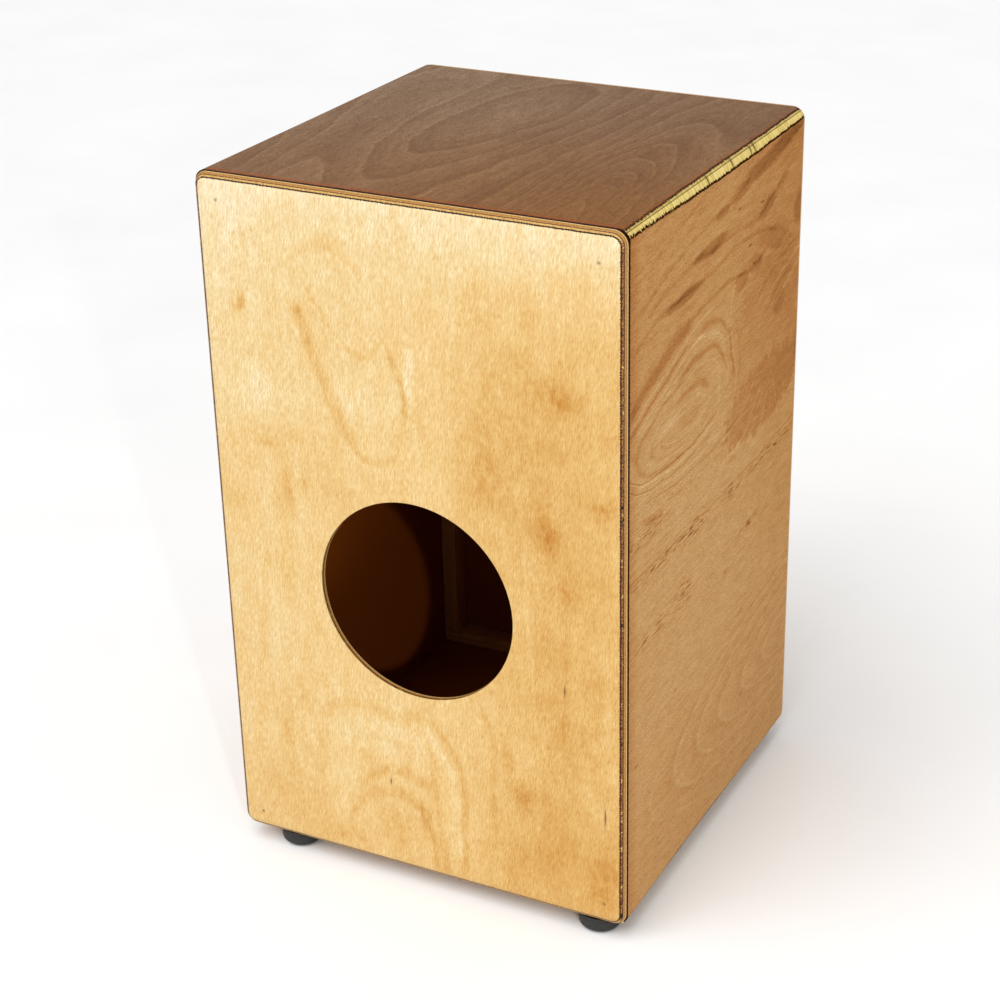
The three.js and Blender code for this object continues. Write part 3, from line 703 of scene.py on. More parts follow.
def top_material():
    """The grey-brown veneer of the seat, with cathedral figure running front to back."""
    paint = Paint("seat_veneer")
    x, y, z = paint.place_mm()
    across = paint.sub(RIGHT, x)
    along = paint.sub(y, FRONT)
    depth = paint.gap(z, TOP)
    u, v = warped(paint, across, along, 34.0, 70.0, 16.0, 30.0)
    u, v = warped(paint, u, v, 7.0, 15.0, 3.0, 6.0, w=3.0)

    def tone(r, g, b):
        return lit((r, g, b), *SEAT_LIGHT)

    far = paint.mix(paint.fade(across, 0.0, 300.0), tone(140, 115, 94), tone(133, 104, 82))
    near = paint.mix(paint.fade(across, 0.0, 300.0), tone(138, 108, 84), tone(138, 100, 69))
    colour = paint.mix(paint.fade(along, 20.0, 290.0), far, near)
    clouds = paint.grain(across, along, 30.0, 60.0, w=2.0, detail=3.0)
    colour = paint.shade(colour, paint.fade(clouds, 0.34, 0.68), 1.04, 0.94, WARM)
    arches = [
        (7.0, (254.0, 330.0), (27.0, 190.0), -2.0), (-2.6, (136.0, 90.0), (52.0, 150.0), 12.0),
        (2.4, (70.0, 320.0), (34.0, 220.0), -8.0), (1.6, (20.0, 60.0), (60.0, 120.0), 0.0),
    ]
    height = paint.add(paint.landscape(u, v, arches), paint.mul(u, 0.02))
    colour = paint.shade(colour, rings(paint, height), 1.03, 0.86, WARM)
    colour = paint.shade(colour, rings(paint, paint.mul(height, 3.0)), 1.02, 0.94, WARM)
    colour = paint.shade(colour, light_lines(paint, height, 0.12), 1.0, 1.07, WARM)
    ripple = paint.grain(across, along, 3.2, 7.0, w=6.0, detail=3.0, roughness=0.65)
    colour = paint.shade(colour, paint.fade(ripple, 0.3, 0.7), 0.92, 1.08, WARM)
    colour, height = fibres(paint, colour, across, along, 1.6, 1.1)
    edge = paint.maximum(paint.fade(along, RING_BACK - FRONT - 8.0, RING_BACK - FRONT - 1.0),
                         paint.mul(paint.fade(depth, 0.02, 0.5), 0.8))
    colour = paint.mix(paint.mul(edge, 0.8), colour, tone(150, 90, 38))
    from_side = paint.sub(HALF_WIDTH, paint.absolute(x))
    mitre = paint.gap(depth, from_side)
    from_back = paint.sub(BACK, y)
    colour = ring_ply(paint, colour, depth, from_back, mitre, SEAT_PLY)
    # Painted shade of the open joint at the back edge, with glue beads.
    colour = joint_shade_and_glue(paint, colour, x, y, z)
    varnish(paint, colour, height, 0.5, 0.12)
    return paint.material


# Places in these tables are millimetres from the right and top edges of the box.
# The back's figure: (strength, width on the left, width on the right, points as (down, across)).
BACK_UPRIGHTS = [
    (0.16, 2.8, 3.6, [(70, 64), (90, 75), (110, 82), (130, 90), (150, 98), (165, 106), (178, 116)]),
    (-0.10, 4.0, 3.0, [(120, 100), (140, 106), (158, 114)]),
    (0.22, 2.0, 2.4, [(94, 137), (115, 144), (130, 147), (150, 147)]),
    (-0.17, 2.6, 3.0, [(94, 156), (118, 152), (142, 149)]),
    (-0.06, 4.0, 1.2, [(10, 133), (34, 128), (62, 122)]),
    (0.15, 2.4, 2.4, [(358, 158), (380, 172), (402, 180), (435, 183), (476, 179)]),
    (-0.11, 3.0, 2.0, [(362, 152), (384, 165), (410, 174), (450, 177), (480, 174)]),
    (0.14, 2.2, 2.2, [(380, 157), (418, 160), (450, 164), (486, 166)]),
    (0.18, 2.0, 2.4, [(424, 149), (450, 156), (484, 160)]),
    (0.10, 2.4, 1.6, [(250, 40), (290, 32), (340, 30), (400, 38)]),
    (0.08, 2.0, 2.0, [(352, 52), (372, 62), (400, 70), (440, 72)]),
    (0.08, 2.0, 1.6, [(340, 196), (370, 206), (410, 204), (450, 210)]),
    (-0.08, 1.0, 1.4, [(170, 226), (240, 231), (330, 236), (380, 246)]),
    (-0.07, 1.0, 1.2, [(30, 186), (100, 181), (160, 178)]),
]
# The same, with points as (across, down), and widths above and below.
BACK_LINES = [
    (0.13, 3.0, 2.0, [(102, 163), (114, 176), (130, 178), (142, 170)]),
    (0.11, 2.4, 1.6, [(78, 62), (92, 84), (104, 99), (114, 107), (124, 107), (133, 94), (141, 82)]),
    (0.09, 5.0, 3.0, [(74, 46), (92, 37), (106, 39), (117, 51), (126, 62)]),
    (-0.06, 4.0, 4.0, [(80, 62), (98, 56), (112, 66), (120, 78)]),
    (0.10, 4.0, 3.0, [(70, 380), (88, 366), (110, 361), (130, 366), (148, 362), (164, 368)]),
    (-0.09, 6.0, 5.0, [(84, 392), (100, 380), (124, 376), (146, 380), (158, 396)]),
    (0.13, 4.0, 3.0, [(96, 440), (110, 418), (126, 408), (142, 409), (160, 416)]),
    (0.15, 4.0, 4.0, [(86, 466), (100, 440), (116, 428), (140, 427), (156, 438)]),
]
# Warmer and paler patches: (strength, centre, half sizes).
BACK_PATCHES = [
    (0.28, (29, 83), (4.5, 10)), (0.24, (43, 178), (8, 5)), (0.26, (58, 208), (4.2, 14)),
    (0.16, (71, 205), (3.4, 8)), (0.10, (62, 170), (13, 6)), (0.16, (71, 83), (4.5, 8)),
    (0.26, (254, 111), (14, 12)), (0.20, (285, 181), (10, 7)), (0.17, (247, 204), (15, 20)),
    (0.13, (262, 246), (5, 14)), (0.10, (250, 290), (16, 26)), (0.12, (255, 345), (13, 22)),
    (0.20, (216, 372), (3.6, 13)), (0.20, (226, 403), (12, 11)), (0.10, (250, 420), (12, 30)),
    (0.20, (150, 440), (3, 13)), (0.15, (131, 452), (12, 17)), (0.16, (86, 472), (13, 10)),
    (0.16, (44, 392), (5, 27)), (0.12, (48, 452), (18, 22)), (0.12, (205, 62), (14, 18)),
    (0.10, (266, 36), (14, 16)), (0.10, (205, 170), (18, 22)), (0.14, (284, 455), (10, 24)),
    (0.12, (212, 150), (36, 60)), (0.12, (16, 225), (10, 9)), (0.08, (100, 205), (26, 20)),
    (0.10, (225, 450), (18, 20)),
    (-0.10, (86, 415), (9, 40)), (-0.12, (205, 57), (5, 9)), (-0.10, (118, 130), (14, 26)),
    (-0.09, (40, 140), (14, 20)), (-0.12, (228, 178), (7, 9)), (-0.08, (228, 376), (9, 12)),
    (-0.07, (120, 392), (26, 8)), (-0.06, (30, 300), (20, 60)), (-0.10, (290, 330), (5, 50)),
]
# Thin upright marks: (centre, half length).
BACK_MARKS = [((258, 313), 4), ((286.5, 402), 7), ((125, 417), 3)]


def back_material():
    """Pale beech with upright grain, fine dashes, flame figure and five plies on its rounded edge. The
    figure and a painted fall of light (paler near the top and the upper right edge, darker lower down) are
    drawn as one level, 0 for the palest wood and 1 for the most orange."""
    paint = Paint("back_veneer")
    x, y, z = paint.place_mm()
    across = paint.sub(RIGHT, x)
    down = paint.sub(TOP, z)
    depth = paint.gap(y, BACK)
    u, v = warped(paint, across, down, 26.0, 46.0, 12.0, 16.0)
    u, v = warped(paint, u, v, 7.0, 14.0, 4.0, 6.0, w=3.0)
    clouds = paint.grain(across, down, 15.0, 42.0, w=3.0, detail=4.0, roughness=0.62)
    cross = paint.grain(across, down, 26.0, 14.0, w=47.0, detail=3.0, roughness=0.6)
    bars = paint.grain(across, down, 2.6, 90.0, w=51.0, detail=3.0, roughness=0.6)
    breaks = paint.grain(across, down, 5.0, 11.0, w=8.0, detail=3.0, roughness=0.7)
    broken = paint.fade(breaks, 0.3, 0.64, 0.3, 1.0)
    rightward = paint.mul(paint.fade(across, 140.0, 262.0), paint.fade(down, 10.0, 110.0))

    # Besides the figure, some terms paint light and shade: paler near the top edge and near the upper part
    # of the right edge (painted highlight), darker further down (painted shade).
    level = paint.add(0.33, paint.mul(rightward, 0.26), paint.fade(down, 64.0, 4.0, 0.0, -0.18),
                      paint.mul(paint.fade(across, 90.0, 10.0), paint.fade(down, 230.0, 60.0), -0.13),
                      paint.fade(down, 390.0, 450.0, 0.0, 0.07), paint.fade(down, 60.0, 220.0, 0.0, 0.05),
                      paint.swing(clouds, 0.5),
                      paint.swing(cross, paint.math("MULTIPLY_ADD", rightward, 0.2, 0.05)),
                      paint.swing(bars, 0.12))

    def draw(amount, strength):
        return paint.add(level, paint.mul(amount, broken, strength * 1.55))

    for strength, before, after, points in BACK_UPRIGHTS:
        level = draw(stroke(paint, v, u, points, before * 2.0, after * 2.0, 14.0), strength)
    for strength, before, after, points in BACK_LINES:
        level = draw(stroke(paint, u, v, points, before * 2.0, after * 2.0), strength)
    for strength, centre, radii in BACK_PATCHES:
        level = draw(paint.hill(u, v, centre, radii), strength)
    colour = paint.ramp(level, [(0.2 * i, lit(c, *BACK_LIGHT)) for i, c in enumerate(BACK_TONES)])
    for centre, half_length in BACK_MARKS:
        mark = paint.hill(across, down, centre, (0.7, half_length))
        colour = paint.mix(paint.mul(mark, 0.9), colour, srgb(112, 54, 24))
    for brad in BRAD_CORNERS:
        middle = node_middle(f"brad_{brad}")
        stain = paint.hill(across, down, (RIGHT - middle[0], TOP - middle[2]), (1.1, 1.1))
        colour = paint.mix(paint.mul(stain, 0.7), colour, srgb(70, 34, 12))
    slant = paint.add(across, paint.mul(down, 0.12))
    colour, height = fibres(paint, colour, slant, down, 1.15, 0.9, PALE, streak=18.0, fleck=5.0)

    round_edge = paint.add(x, z)
    end_grain = paint.grain(round_edge, depth, 1.3, 0.6, w=2.0, detail=4.0, roughness=0.7)
    voids = paint.grain(round_edge, depth, 4.0, 2.4, w=6.0, detail=3.0, roughness=0.6)
    upright = paint.fade(paint.sub(HALF_WIDTH, paint.absolute(x)), 7.0, 5.0)
    upright = paint.mul(upright, paint.fade(paint.gap(z, MIDDLE_Z), 239.0, 235.0))
    near_hole = paint.mul(paint.fade(paint.absolute(x), HOLE_RADIUS + 3.0, HOLE_RADIUS + 1.0),
                          paint.fade(paint.gap(z, HOLE_Z), HOLE_RADIUS + 5.0, HOLE_RADIUS + 3.0))
    upright = paint.maximum(upright, near_hole)

    def ply_end(*stops):
        return paint.ramp(end_grain, [(position, srgb(*tone)) for position, tone in stops])

    dark_core = ply_end((0.36, (44, 17, 4)), (0.48, (118, 66, 24)), (0.64, (182, 124, 60)))
    dark_core = paint.mix(paint.fade(voids, 0.6, 0.64), dark_core, srgb(206, 160, 90))
    dark_core = paint.mix(paint.fade(voids, 0.4, 0.36), dark_core, srgb(28, 12, 4))
    light_core = ply_end((0.35, (160, 112, 52)), (0.65, (222, 182, 110)))
    core = paint.mix(upright, light_core, dark_core)
    middle_ply = ply_end((0.35, (138, 88, 38)), (0.65, (196, 146, 78)))
    pale_ply = ply_end((0.35, (204, 166, 100)), (0.65, (236, 208, 146)))
    glue = srgb(44, 20, 6)
    wobble = paint.swing(paint.grain(round_edge, depth, 14.0, 9.0, detail=2.0), 0.3)
    teeth = paint.swing(paint.grain(round_edge, 0.0, 0.9, 9.0, w=4.0, detail=2.0), 0.9)
    level = paint.add(depth, wobble, paint.mul(teeth, paint.fade(depth, 2.4, 1.4, 0.35, 1.0)))
    # The last, near-black band at the inner edge is painted shade of the open joint with the ring, not a
    # ply.
    for start, ply in ((BACK_VENEER, glue), (BACK_VENEER + 0.45, core), (2.0, glue), (2.3, middle_ply),
                       (3.85, pale_ply), (BACK_THICKNESS - 0.7, srgb(22, 9, 3))):
        colour = paint.mix(paint.fade(level, start, start + 0.12), colour, ply)
    colour = paint.mix(paint.fade(depth, BACK_THICKNESS - 0.05, BACK_THICKNESS - 0.01), colour, INSIDE)
    varnish(paint, colour, height, 0.42, 0.2)
    return paint.material


def tapa_material():
    """The thin playing plate: evener beech with a long cathedral, three plies on its edge."""
    paint = Paint("tapa_veneer")
    x, y, z = paint.place_mm()
    depth = paint.gap(y, FRONT)
    up = paint.sub(z, BASE)
    warp = paint.grain(x, up, 46.0, 150.0, detail=2.0)
    small_warp = paint.grain(x, up, 9.0, 40.0, w=5.0, detail=2.0)
    hills = [(6.5, (10.0, -60.0), (62.0, 330.0), 0.0), (2.0, (-95.0, 560.0), (34.0, 260.0), 0.0)]
    height = paint.add(paint.landscape(x, up, hills), paint.mul(warp, 2.0), paint.mul(small_warp, 0.3))
    band = rings(paint, height, 0.6)
    clouds = paint.grain(x, up, 40.0, 130.0, w=3.0, detail=2.0)
    base = paint.mix(paint.fade(clouds, 0.3, 0.7), srgb(232, 192, 134), srgb(220, 172, 110))
    colour = paint.mix(paint.mul(band, 0.42), base, srgb(196, 138, 78))
    pores = flecks(paint, x, up)
    streaks = paint.grain(x, up, 0.6, 26.0, w=9.0, detail=3.0, roughness=0.65)
    colour = paint.mix(paint.mul(pores, 0.34), colour, srgb(190, 130, 72))
    colour = paint.shade(colour, streaks, 0.93, 1.05)
    for start, ply in ((1.0, srgb(60, 34, 14)), (1.1, srgb(140, 88, 44)), (2.0, srgb(60, 34, 14)),
                       (2.1, srgb(206, 160, 100)), (TAPA_THICKNESS - 0.05, INSIDE)):
        colour = paint.mix(paint.fade(depth, start, start + 0.05), colour, ply)
    varnish(paint, colour, paint.sub(streaks, pores), 0.3)
    return paint.material


def raw_wood(name, axis, light, dark):
    """Sawn batten wood with its grain along the given axis (0, 1 or 2)."""
    paint = Paint(name)
    spots = paint.place_mm()
    others = [spots[i] for i in range(3) if i != axis]
    height = paint.add(paint.mul(others[0], 0.35), paint.mul(others[1], 0.22),
                       paint.mul(paint.grain(others[0], spots[axis], 12.0, 160.0, detail=2.0), 3.0))
    band = rings(paint, height)
    fibre = paint.solid((*others, spots[axis]), (1.6, 1.6, 0.05), detail=4.0, roughness=0.65)
    saw = paint.grain(spots[axis], others[0], 1.3, 40.0, w=3.0, detail=1.0)
    colour = paint.mix(paint.mul(band, 0.55), light, dark)
    colour = paint.shade(colour, fibre, 0.8, 1.12)
    colour = paint.shade(colour, saw, 0.94, 1.04)
    paint.set(Base_Color=colour, Roughness=0.78)
    paint.set(Normal=paint.bump(paint.add(fibre, paint.mul(saw, 0.6)), 0.12, 0.6))
    return paint.material


# ---- other materials -----------------------------------------------------------------------------


def rubber_material():
    paint = Paint("foot_rubber")
    spot = paint.place_mm()
    dust = paint.noise(paint.vector(*spot), detail=4.0, roughness=0.7)
    scuffs = paint.solid(spot, (0.25, 0.25, 1.4), detail=3.0)
    colour = paint.ramp(dust, [(0.35, srgb(20, 20, 20)), (0.65, srgb(40, 39, 36))])
    colour = paint.mix(paint.fade(scuffs, 0.6, 0.75, 0.0, 0.4), colour, srgb(74, 72, 66))
    paint.set(Base_Color=colour, Roughness=paint.fade(dust, 0.3, 0.7, 0.5, 0.72))
    paint.set(Normal=paint.bump(dust, 0.08, 0.4))
    return paint.material


def metal_material(name, light, dark, roughness):
    """Plated or blackened steel with fine drawing lines, dull spots and worn tone."""
    paint = Paint(name)
    spot = paint.place_mm()
    lines = paint.solid(spot, (2.5, 2.5, 0.2), detail=3.0)
    blush = paint.noise(paint.vector(*spot), detail=3.0, roughness=0.6)
    colour = paint.mix(paint.fade(blush, 0.35, 0.7), light, dark)
    colour = paint.shade(colour, lines, 0.9, 1.06)
    dull = paint.fade(blush, 0.3, 0.7, roughness, roughness + 0.16)
    paint.set(Base_Color=colour, Metallic=1.0, Roughness=dull)
    paint.set(Normal=paint.bump(lines, 0.02, 0.4))
    return paint.material


def felt_material():
    paint = Paint("washer_felt")
    fuzz = paint.solid(paint.place_mm(), (3.0, 3.0, 3.0), detail=5.0, roughness=0.75)
    colour = paint.ramp(fuzz, [(0.3, srgb(36, 32, 30)), (0.7, srgb(78, 72, 68))])
    paint.set(Base_Color=colour, Roughness=0.95)
    paint.set(Sheen_Weight=0.4, Sheen_Roughness=0.5, Normal=paint.bump(fuzz, 0.3, 0.8))
    return paint.material


def plastic_material():
    paint = Paint("knob_plastic")
    spot = paint.place_mm()
    texture = paint.solid(spot, (4.0, 4.0, 4.0), detail=2.0)
    rub = paint.solid(spot, (0.3, 0.3, 0.3), detail=2.0)
    paint.set(Base_Color=paint.ramp(rub, [(0.35, srgb(18, 18, 19)), (0.7, srgb(34, 34, 35))]))
    paint.set(Roughness=paint.fade(rub, 0.3, 0.7, 0.3, 0.46), Normal=paint.bump(texture, 0.03, 0.4))
    return paint.material


# ---- the ring ------------------------------------------------------------------------------------


def corner_point(t, bulge):
    """A point of the rounded corner as (inward from the side, down from the top). t goes from 0 at
    the top's flat to 1 at the side's. The bulge lengthens the side's part, as hand sanding does."""
    wide, tall = CORNER - 0.6, CORNER + bulge
    turn = math.pi / 2 * t
    return (wide - wide * math.sin(turn), tall - tall * math.cos(turn))


def split_corner(bulge):
    """The corner's points that belong to the top and those that belong to the side."""
    low, high = 0.0, 1.0
    halvings = 40
    for _ in range(halvings):
        middle = (low + high) / 2
        a, b = corner_point(middle, bulge)
        low, high = (middle, high) if a > b else (low, middle)
    return ([corner_point(low * i / 16, bulge) for i in range(17)],
            [corner_point(low + (1 - low) * i / 16, bulge) for i in range(17)])


def bulge_at(y):
    """How much longer the side's part of the corner is at this place along the box. It is longest
    near the middle and short at both ends."""
    share = (RING_BACK - y) / (RING_BACK - RING_FRONT)
    return 2.6 * math.sin(math.pi * min(1.0, share * 1.15)) ** 2 * (1 if share < 0.87 else 0.4) - 0.6


def ring_section(kind, bulge):
    """Half section of a ring panel as (inward from the side, down from the top), open at the middle."""
    top_part, side_part = split_corner(bulge)
    shift = SEAM / 2
    if kind == "top":
        outer = [(a + shift, b) for a, b in top_part]
        return outer + [(RING_THICKNESS + shift, RING_THICKNESS)]
    outer = [(a, b + shift) for a, b in side_part[::-1]]
    return outer + [(RING_THICKNESS, RING_THICKNESS + shift)]


def ring_panel(name, material, kind, flip):
    """Lofts a ring panel from front to back. flip is 1 for the top and right, -1 for the others."""
    stations = 72
    loops = []
    for i in range(stations + 1):
        y = RING_FRONT + (RING_BACK - RING_FRONT) * i / stations
        section = ring_section(kind, bulge_at(y))
        half = [(HALF_WIDTH - a, HALF_HEIGHT - b) for a, b in section]
        if kind == "top":
            outline = half + [(-px, pz) for px, pz in half[::-1]]
            loops.append([(px, y, MIDDLE_Z + flip * pz) for px, pz in outline])
        else:
            outline = half + [(px, -pz) for px, pz in half[::-1]]
            loops.append([(flip * px, y, MIDDLE_Z + pz) for px, pz in outline])
    panel = loft(f"{name}_fine", loops)
    stand_in(panel, "box", name, material)
    return panel


side_veneer = side_material()
ring_panel("top_panel", top_material(), "top", 1)
ring_panel("side_panel_left", side_veneer, "side", -1)
ring_panel("side_panel_right", side_veneer, "side", 1)


def bottom_material():
    """The underside: plain beech, with the same plies and mitres as the top."""
    paint = Paint("bottom_veneer")
    x, y, z = paint.place_mm()
    depth = paint.gap(z, BASE)
    warp = paint.grain(x, y, 36.0, 120.0, detail=2.0)
    band = rings(paint, paint.add(paint.mul(x, 0.03), paint.mul(warp, 3.0)))
    colour = paint.mix(paint.mul(band, 0.35), srgb(206, 164, 112), srgb(172, 118, 70))
    pores = flecks(paint, x, y)
    colour = paint.shade(colour, pores, 1.0, 0.88)
    from_side = paint.sub(HALF_WIDTH, paint.absolute(x))
    colour = ring_ply(paint, colour, depth, y, paint.gap(depth, from_side))
    varnish(paint, colour, pores, 0.5)
    return paint.material


ring_panel("bottom_panel", bottom_material(), "top", -1)

# ---- back panel and tapa -------------------------------------------------------------------------


def plate_outline(inset, corner):
    """A rounded rectangle the size of the box, brought in by inset, as (x, z) points."""
    arc_steps, across_steps, upright_steps = 10, 60, 90
    radius = max(corner - inset, 0.6)
    x, z = HALF_WIDTH - inset - radius, HALF_HEIGHT - inset - radius
    points = []
    for centre, start, steps, (next_x, next_z) in (
            ((x, z), 0, across_steps, (-x, z + radius)), ((-x, z), 90, upright_steps, (-x - radius, -z)),
            ((-x, -z), 180, across_steps, (x, -z - radius)), ((x, -z), 270, upright_steps, (x + radius, z))):
        points += arc(centre, radius, start, start + 90, arc_steps)
        px, pz = points[-1]
        points += [(px + (next_x - px) * i / steps, pz + (next_z - pz) * i / steps)
                   for i in range(1, steps)]
    return [(px, MIDDLE_Z + pz) for px, pz in points]


def at_depth(points, y):
    return [(px, y, pz) for px, pz in points]


def roundover(steps):
    """(how far in, how far down) along a quarter round, both as shares, from the face outward."""
    turns = [math.pi / 2 * k / steps for k in range(steps + 1)]
    return [(1 - math.sin(turn), 1 - math.cos(turn)) for turn in turns]


def make_back_panel():
    inner_y = BACK - BACK_THICKNESS
    bearing = [math.atan2(pz - HOLE_Z, px) for px, pz in plate_outline(0.0, BACK_CORNER)]

    def circle(radius, y):
        return [(radius * math.cos(a), y, HOLE_Z + radius * math.sin(a)) for a in bearing]

    rim_easing = 0.5
    loops = [circle(HOLE_RADIUS, inner_y)]
    loops += [circle(HOLE_RADIUS + rim_easing * outward, BACK - rim_easing * below)
              for below, outward in roundover(3)]
    loops.append(circle(HOLE_RADIUS + 2 * rim_easing, BACK))
    loops.append(at_depth(plate_outline(BACK_EASING + 0.6, BACK_CORNER), BACK))
    for inward, below in roundover(12):
        y = BACK - BACK_ROUNDOVER * below
        if y < inner_y + 0.1:
            break
        loops.append(at_depth(plate_outline(BACK_EASING * inward, BACK_CORNER), y))
    loops.append(at_depth(plate_outline(0.1, BACK_CORNER), inner_y))
    panel = loft("back_panel_fine", loops, closed=True)
    stand_in(panel, "box", "back_panel", back_material())


def countersink(origin):
    """The tool that cuts a tapa screw's hole and the seat of its head."""
    depth, hole, seat = 6.0, 1.9, 3.75
    tool = lathe("tool", [(0, -depth), (hole, -depth), (hole, -2.2), (seat, 0.0), (seat, 1.0), (0, 1.0)],
                 sides=32)
    return place(tool, origin, (0, -1, 0))


TAPA_SCREWS = sorted(n for n in frame["nodes"] if n.startswith("tapa_screw_"))


def screw_place(name):
    """Where a tapa screw's axis meets the face of the plate."""
    middle = node_middle(name)
    return (middle[0], FRONT, middle[2])


def make_tapa():
    inner_y = FRONT + TAPA_THICKNESS
    loops = [at_depth(plate_outline(0.2, TAPA_CORNER), inner_y)]
    loops += [at_depth(plate_outline(TAPA_ROUNDOVER * inward, TAPA_CORNER), FRONT + TAPA_ROUNDOVER * above)
              for above, inward in roundover(5)]
    loops.append(at_depth(plate_outline(TAPA_ROUNDOVER + 0.5, TAPA_CORNER), FRONT))
    plate = loft("tapa_fine", loops)
    cut_with(plate, [countersink(screw_place(name)) for name in TAPA_SCREWS])
    stand_in(plate, "box", "tapa", tapa_material())


make_back_panel()
make_tapa()

# ---- fasteners -----------------------------------------------------------------------------------

black_steel = metal_material("black_steel", srgb(58, 56, 54), srgb(34, 32, 31), 0.36)
bright_steel = metal_material("bright_steel", srgb(206, 208, 212), srgb(168, 170, 176), 0.24)
snare_steel = metal_material("snare_steel", srgb(216, 216, 214), srgb(180, 180, 182), 0.2)


def cross_recess(size, depth):
    """Two tapered bars, point down, that cut the drive of a screw whose top is at height 0. They are
    separate tools because a tool that crosses itself can't be taken away cleanly."""
    tools = []
    for turn, share in ((0, 1.0), (90, 0.96)):
        bm = bmesh.new()
        bmesh.ops.create_cube(bm, size=1.0)
        for v in bm.verts:
            wide, narrow, z = (1.0, 1.0, 0.6) if v.co.z > 0 else (0.35, 0.7, -depth * share)
            v.co = Vector((v.co.x * size * wide, v.co.y * size * 0.24 * narrow, z))
        spin = Matrix.Rotation(math.radians(turn), 3, "Z")
        bmesh.ops.rotate(bm, cent=(0, 0, 0), matrix=spin, verts=bm.verts)
        bmesh.ops.scale(bm, vec=(1 / M,) * 3, verts=bm.verts)
        tools.append(finish_mesh(bm, f"recess_{turn}"))
    return tools


def screw_mesh(name, head_profile, shank_radius, length, recess):
    """A screw with its head's top at height 0: head, threaded shank and point. The recess is the
    (size, depth) of its cross."""
    neck = head_profile[0][1]
    root, pitch = shank_radius * 0.74, 1.3
    profile = [(0.0, -length), (shank_radius * 0.35, -length + 0.9)]
    z = -length + 2.2
    for _ in range(int((length + neck - 3.0) / pitch)):
        profile += [(root, z), (shank_radius, z + 0.35), (root, z + 0.7)]
        z += pitch
    profile += [(shank_radius * 0.8, min(z, neck - 0.1))]
    profile += head_profile
    piece = lathe(name, profile, sides=32, sharp_degrees=40.0)
    return cut_with(piece, cross_recess(*recess))


def place_screw(name, body, master, origin, towards, material):
    piece = add_object(f"{name}_fine", master.data.copy())
    place(piece, origin, towards)
    stand_in(piece, body, name, material)


def make_tapa_screws():
    head = [(1.5, -2.15), (3.35, -0.3), (3.5, -0.18), (3.42, -0.04), (3.2, 0.0), (0.0, 0.0)]
    sunk = 0.12
    master = screw_mesh("tapa_screw", head, shank_radius=1.7, length=13.0, recess=(3.6, 1.6))
    for name in TAPA_SCREWS:
        x, y, z = screw_place(name)
        place_screw(name, "box", master, (x, y + sunk, z), (0, -1, 0), black_steel)
    bpy.data.objects.remove(master)


def make_foot_screws():
    head = [(1.7, -2.2), (3.9, -2.2), (4.0, -2.0), (3.8, -1.2), (3.1, -0.45), (2.0, -0.1), (0.0, 0.0)]
    master = screw_mesh("foot_screw", head, shank_radius=2.0, length=14.4, recess=(4.2, 1.7))
    for place_name in FOOT_PLACES:
        name = f"foot_screw_{place_name}"
        x, y, _ = node_middle(name)
        place_screw(name, "box", master, (x, y, node_box(name)[0][2]), (0, 0, -1), black_steel)
    bpy.data.objects.remove(master)


def make_brads():
    """The small heads lie flush in the back panel's face."""
    for corner in BRAD_CORNERS:
        name = f"brad_{corner}"
        x, _, z = node_middle(name)
        length = BACK - node_box(name)[0][1] - 0.02
        profile = [(0, -length), (0.3, -length + 0.8), (0.7, -length + 2.0), (0.7, -1.0), (0.95, -0.35),
                   (0.95, -0.06), (0.8, 0.0), (0.25, -0.04), (0.0, -0.12)]
        brad = lathe(f"{name}_fine", profile, sides=24)
        place(brad, (x, BACK - 0.005, z), (0, 1, 0))
        stand_in(brad, "box", name, black_steel)


make_tapa_screws()
make_foot_screws()
make_brads()

# ---- battens -------------------------------------------------------------------------------------

pine_light, pine_dark = srgb(214, 148, 80), srgb(184, 116, 56)


def make_battens():
    for name in sorted(n for n in frame["nodes"] if "_batten_" in n):
        low, high = node_box(name)
        axis = int(np.argmax(high - low))
        piece = soft_box(f"{name}_fine", low, high, 0.7)
        stand_in(piece, "box", name, raw_wood(f"{name}_wood", axis, pine_light, pine_dark))


make_battens()

# ---- feet ----------------------------------------------------------------------------------------


def make_feet():
    rubber = rubber_material()
    for place_name in FOOT_PLACES:
        name = f"foot_{place_name}"
        low, high = node_box(name)
        x, y = (low[0] + high[0]) / 2, (low[1] + high[1]) / 2
        radius, top = (high[0] - low[0]) / 2, high[2] - low[2]
        recess, bore, ledge = 5.5, 2.3, 4.8
        shoulder = arc((radius - 5.2, 5.2), 5.2, -90, 0, 12)
        profile = [(recess, 0.5), (recess + 0.4, 0.0), (8.6, 0.0), (8.9, 0.25), (9.3, 0.25), (9.6, 0.0)]
        profile += shoulder
        groove = radius - 0.35
        profile += [(radius, top - 2.4), (groove, top - 2.1), (groove, top - 1.6), (radius, top - 1.3)]
        profile += [(radius, top - 0.4), (radius - 0.4, top), (bore, top), (bore, ledge)]
        profile += [(recess, ledge), (recess, 0.5)]
        foot = lathe(f"{name}_fine", profile, sides=72)
        bm = bmesh.new()
        bm.from_mesh(foot.data)
        bmesh.ops.remove_doubles(bm, verts=bm.verts, dist=1e-6)
        bmesh.ops.recalc_face_normals(bm, faces=bm.faces)
        bm.to_mesh(foot.data)
        bm.free()
        place(foot, (x, y, low[2]))
        stand_in(foot, "box", name, rubber)


make_feet()

# ---- snare carriage ------------------------------------------------------------------------------

PIVOT = np.array(frame["joints"][0]["pos_m"]) * M


def make_snare_bar():
    low, high = node_box("snare_bar")
    bar = soft_box("snare_bar_fine", low, high, 1.4)
    wood = raw_wood("snare_bar_wood", 0, srgb(206, 158, 98), srgb(172, 116, 62))
    stand_in(bar, "snare_carriage", "snare_bar", wood)


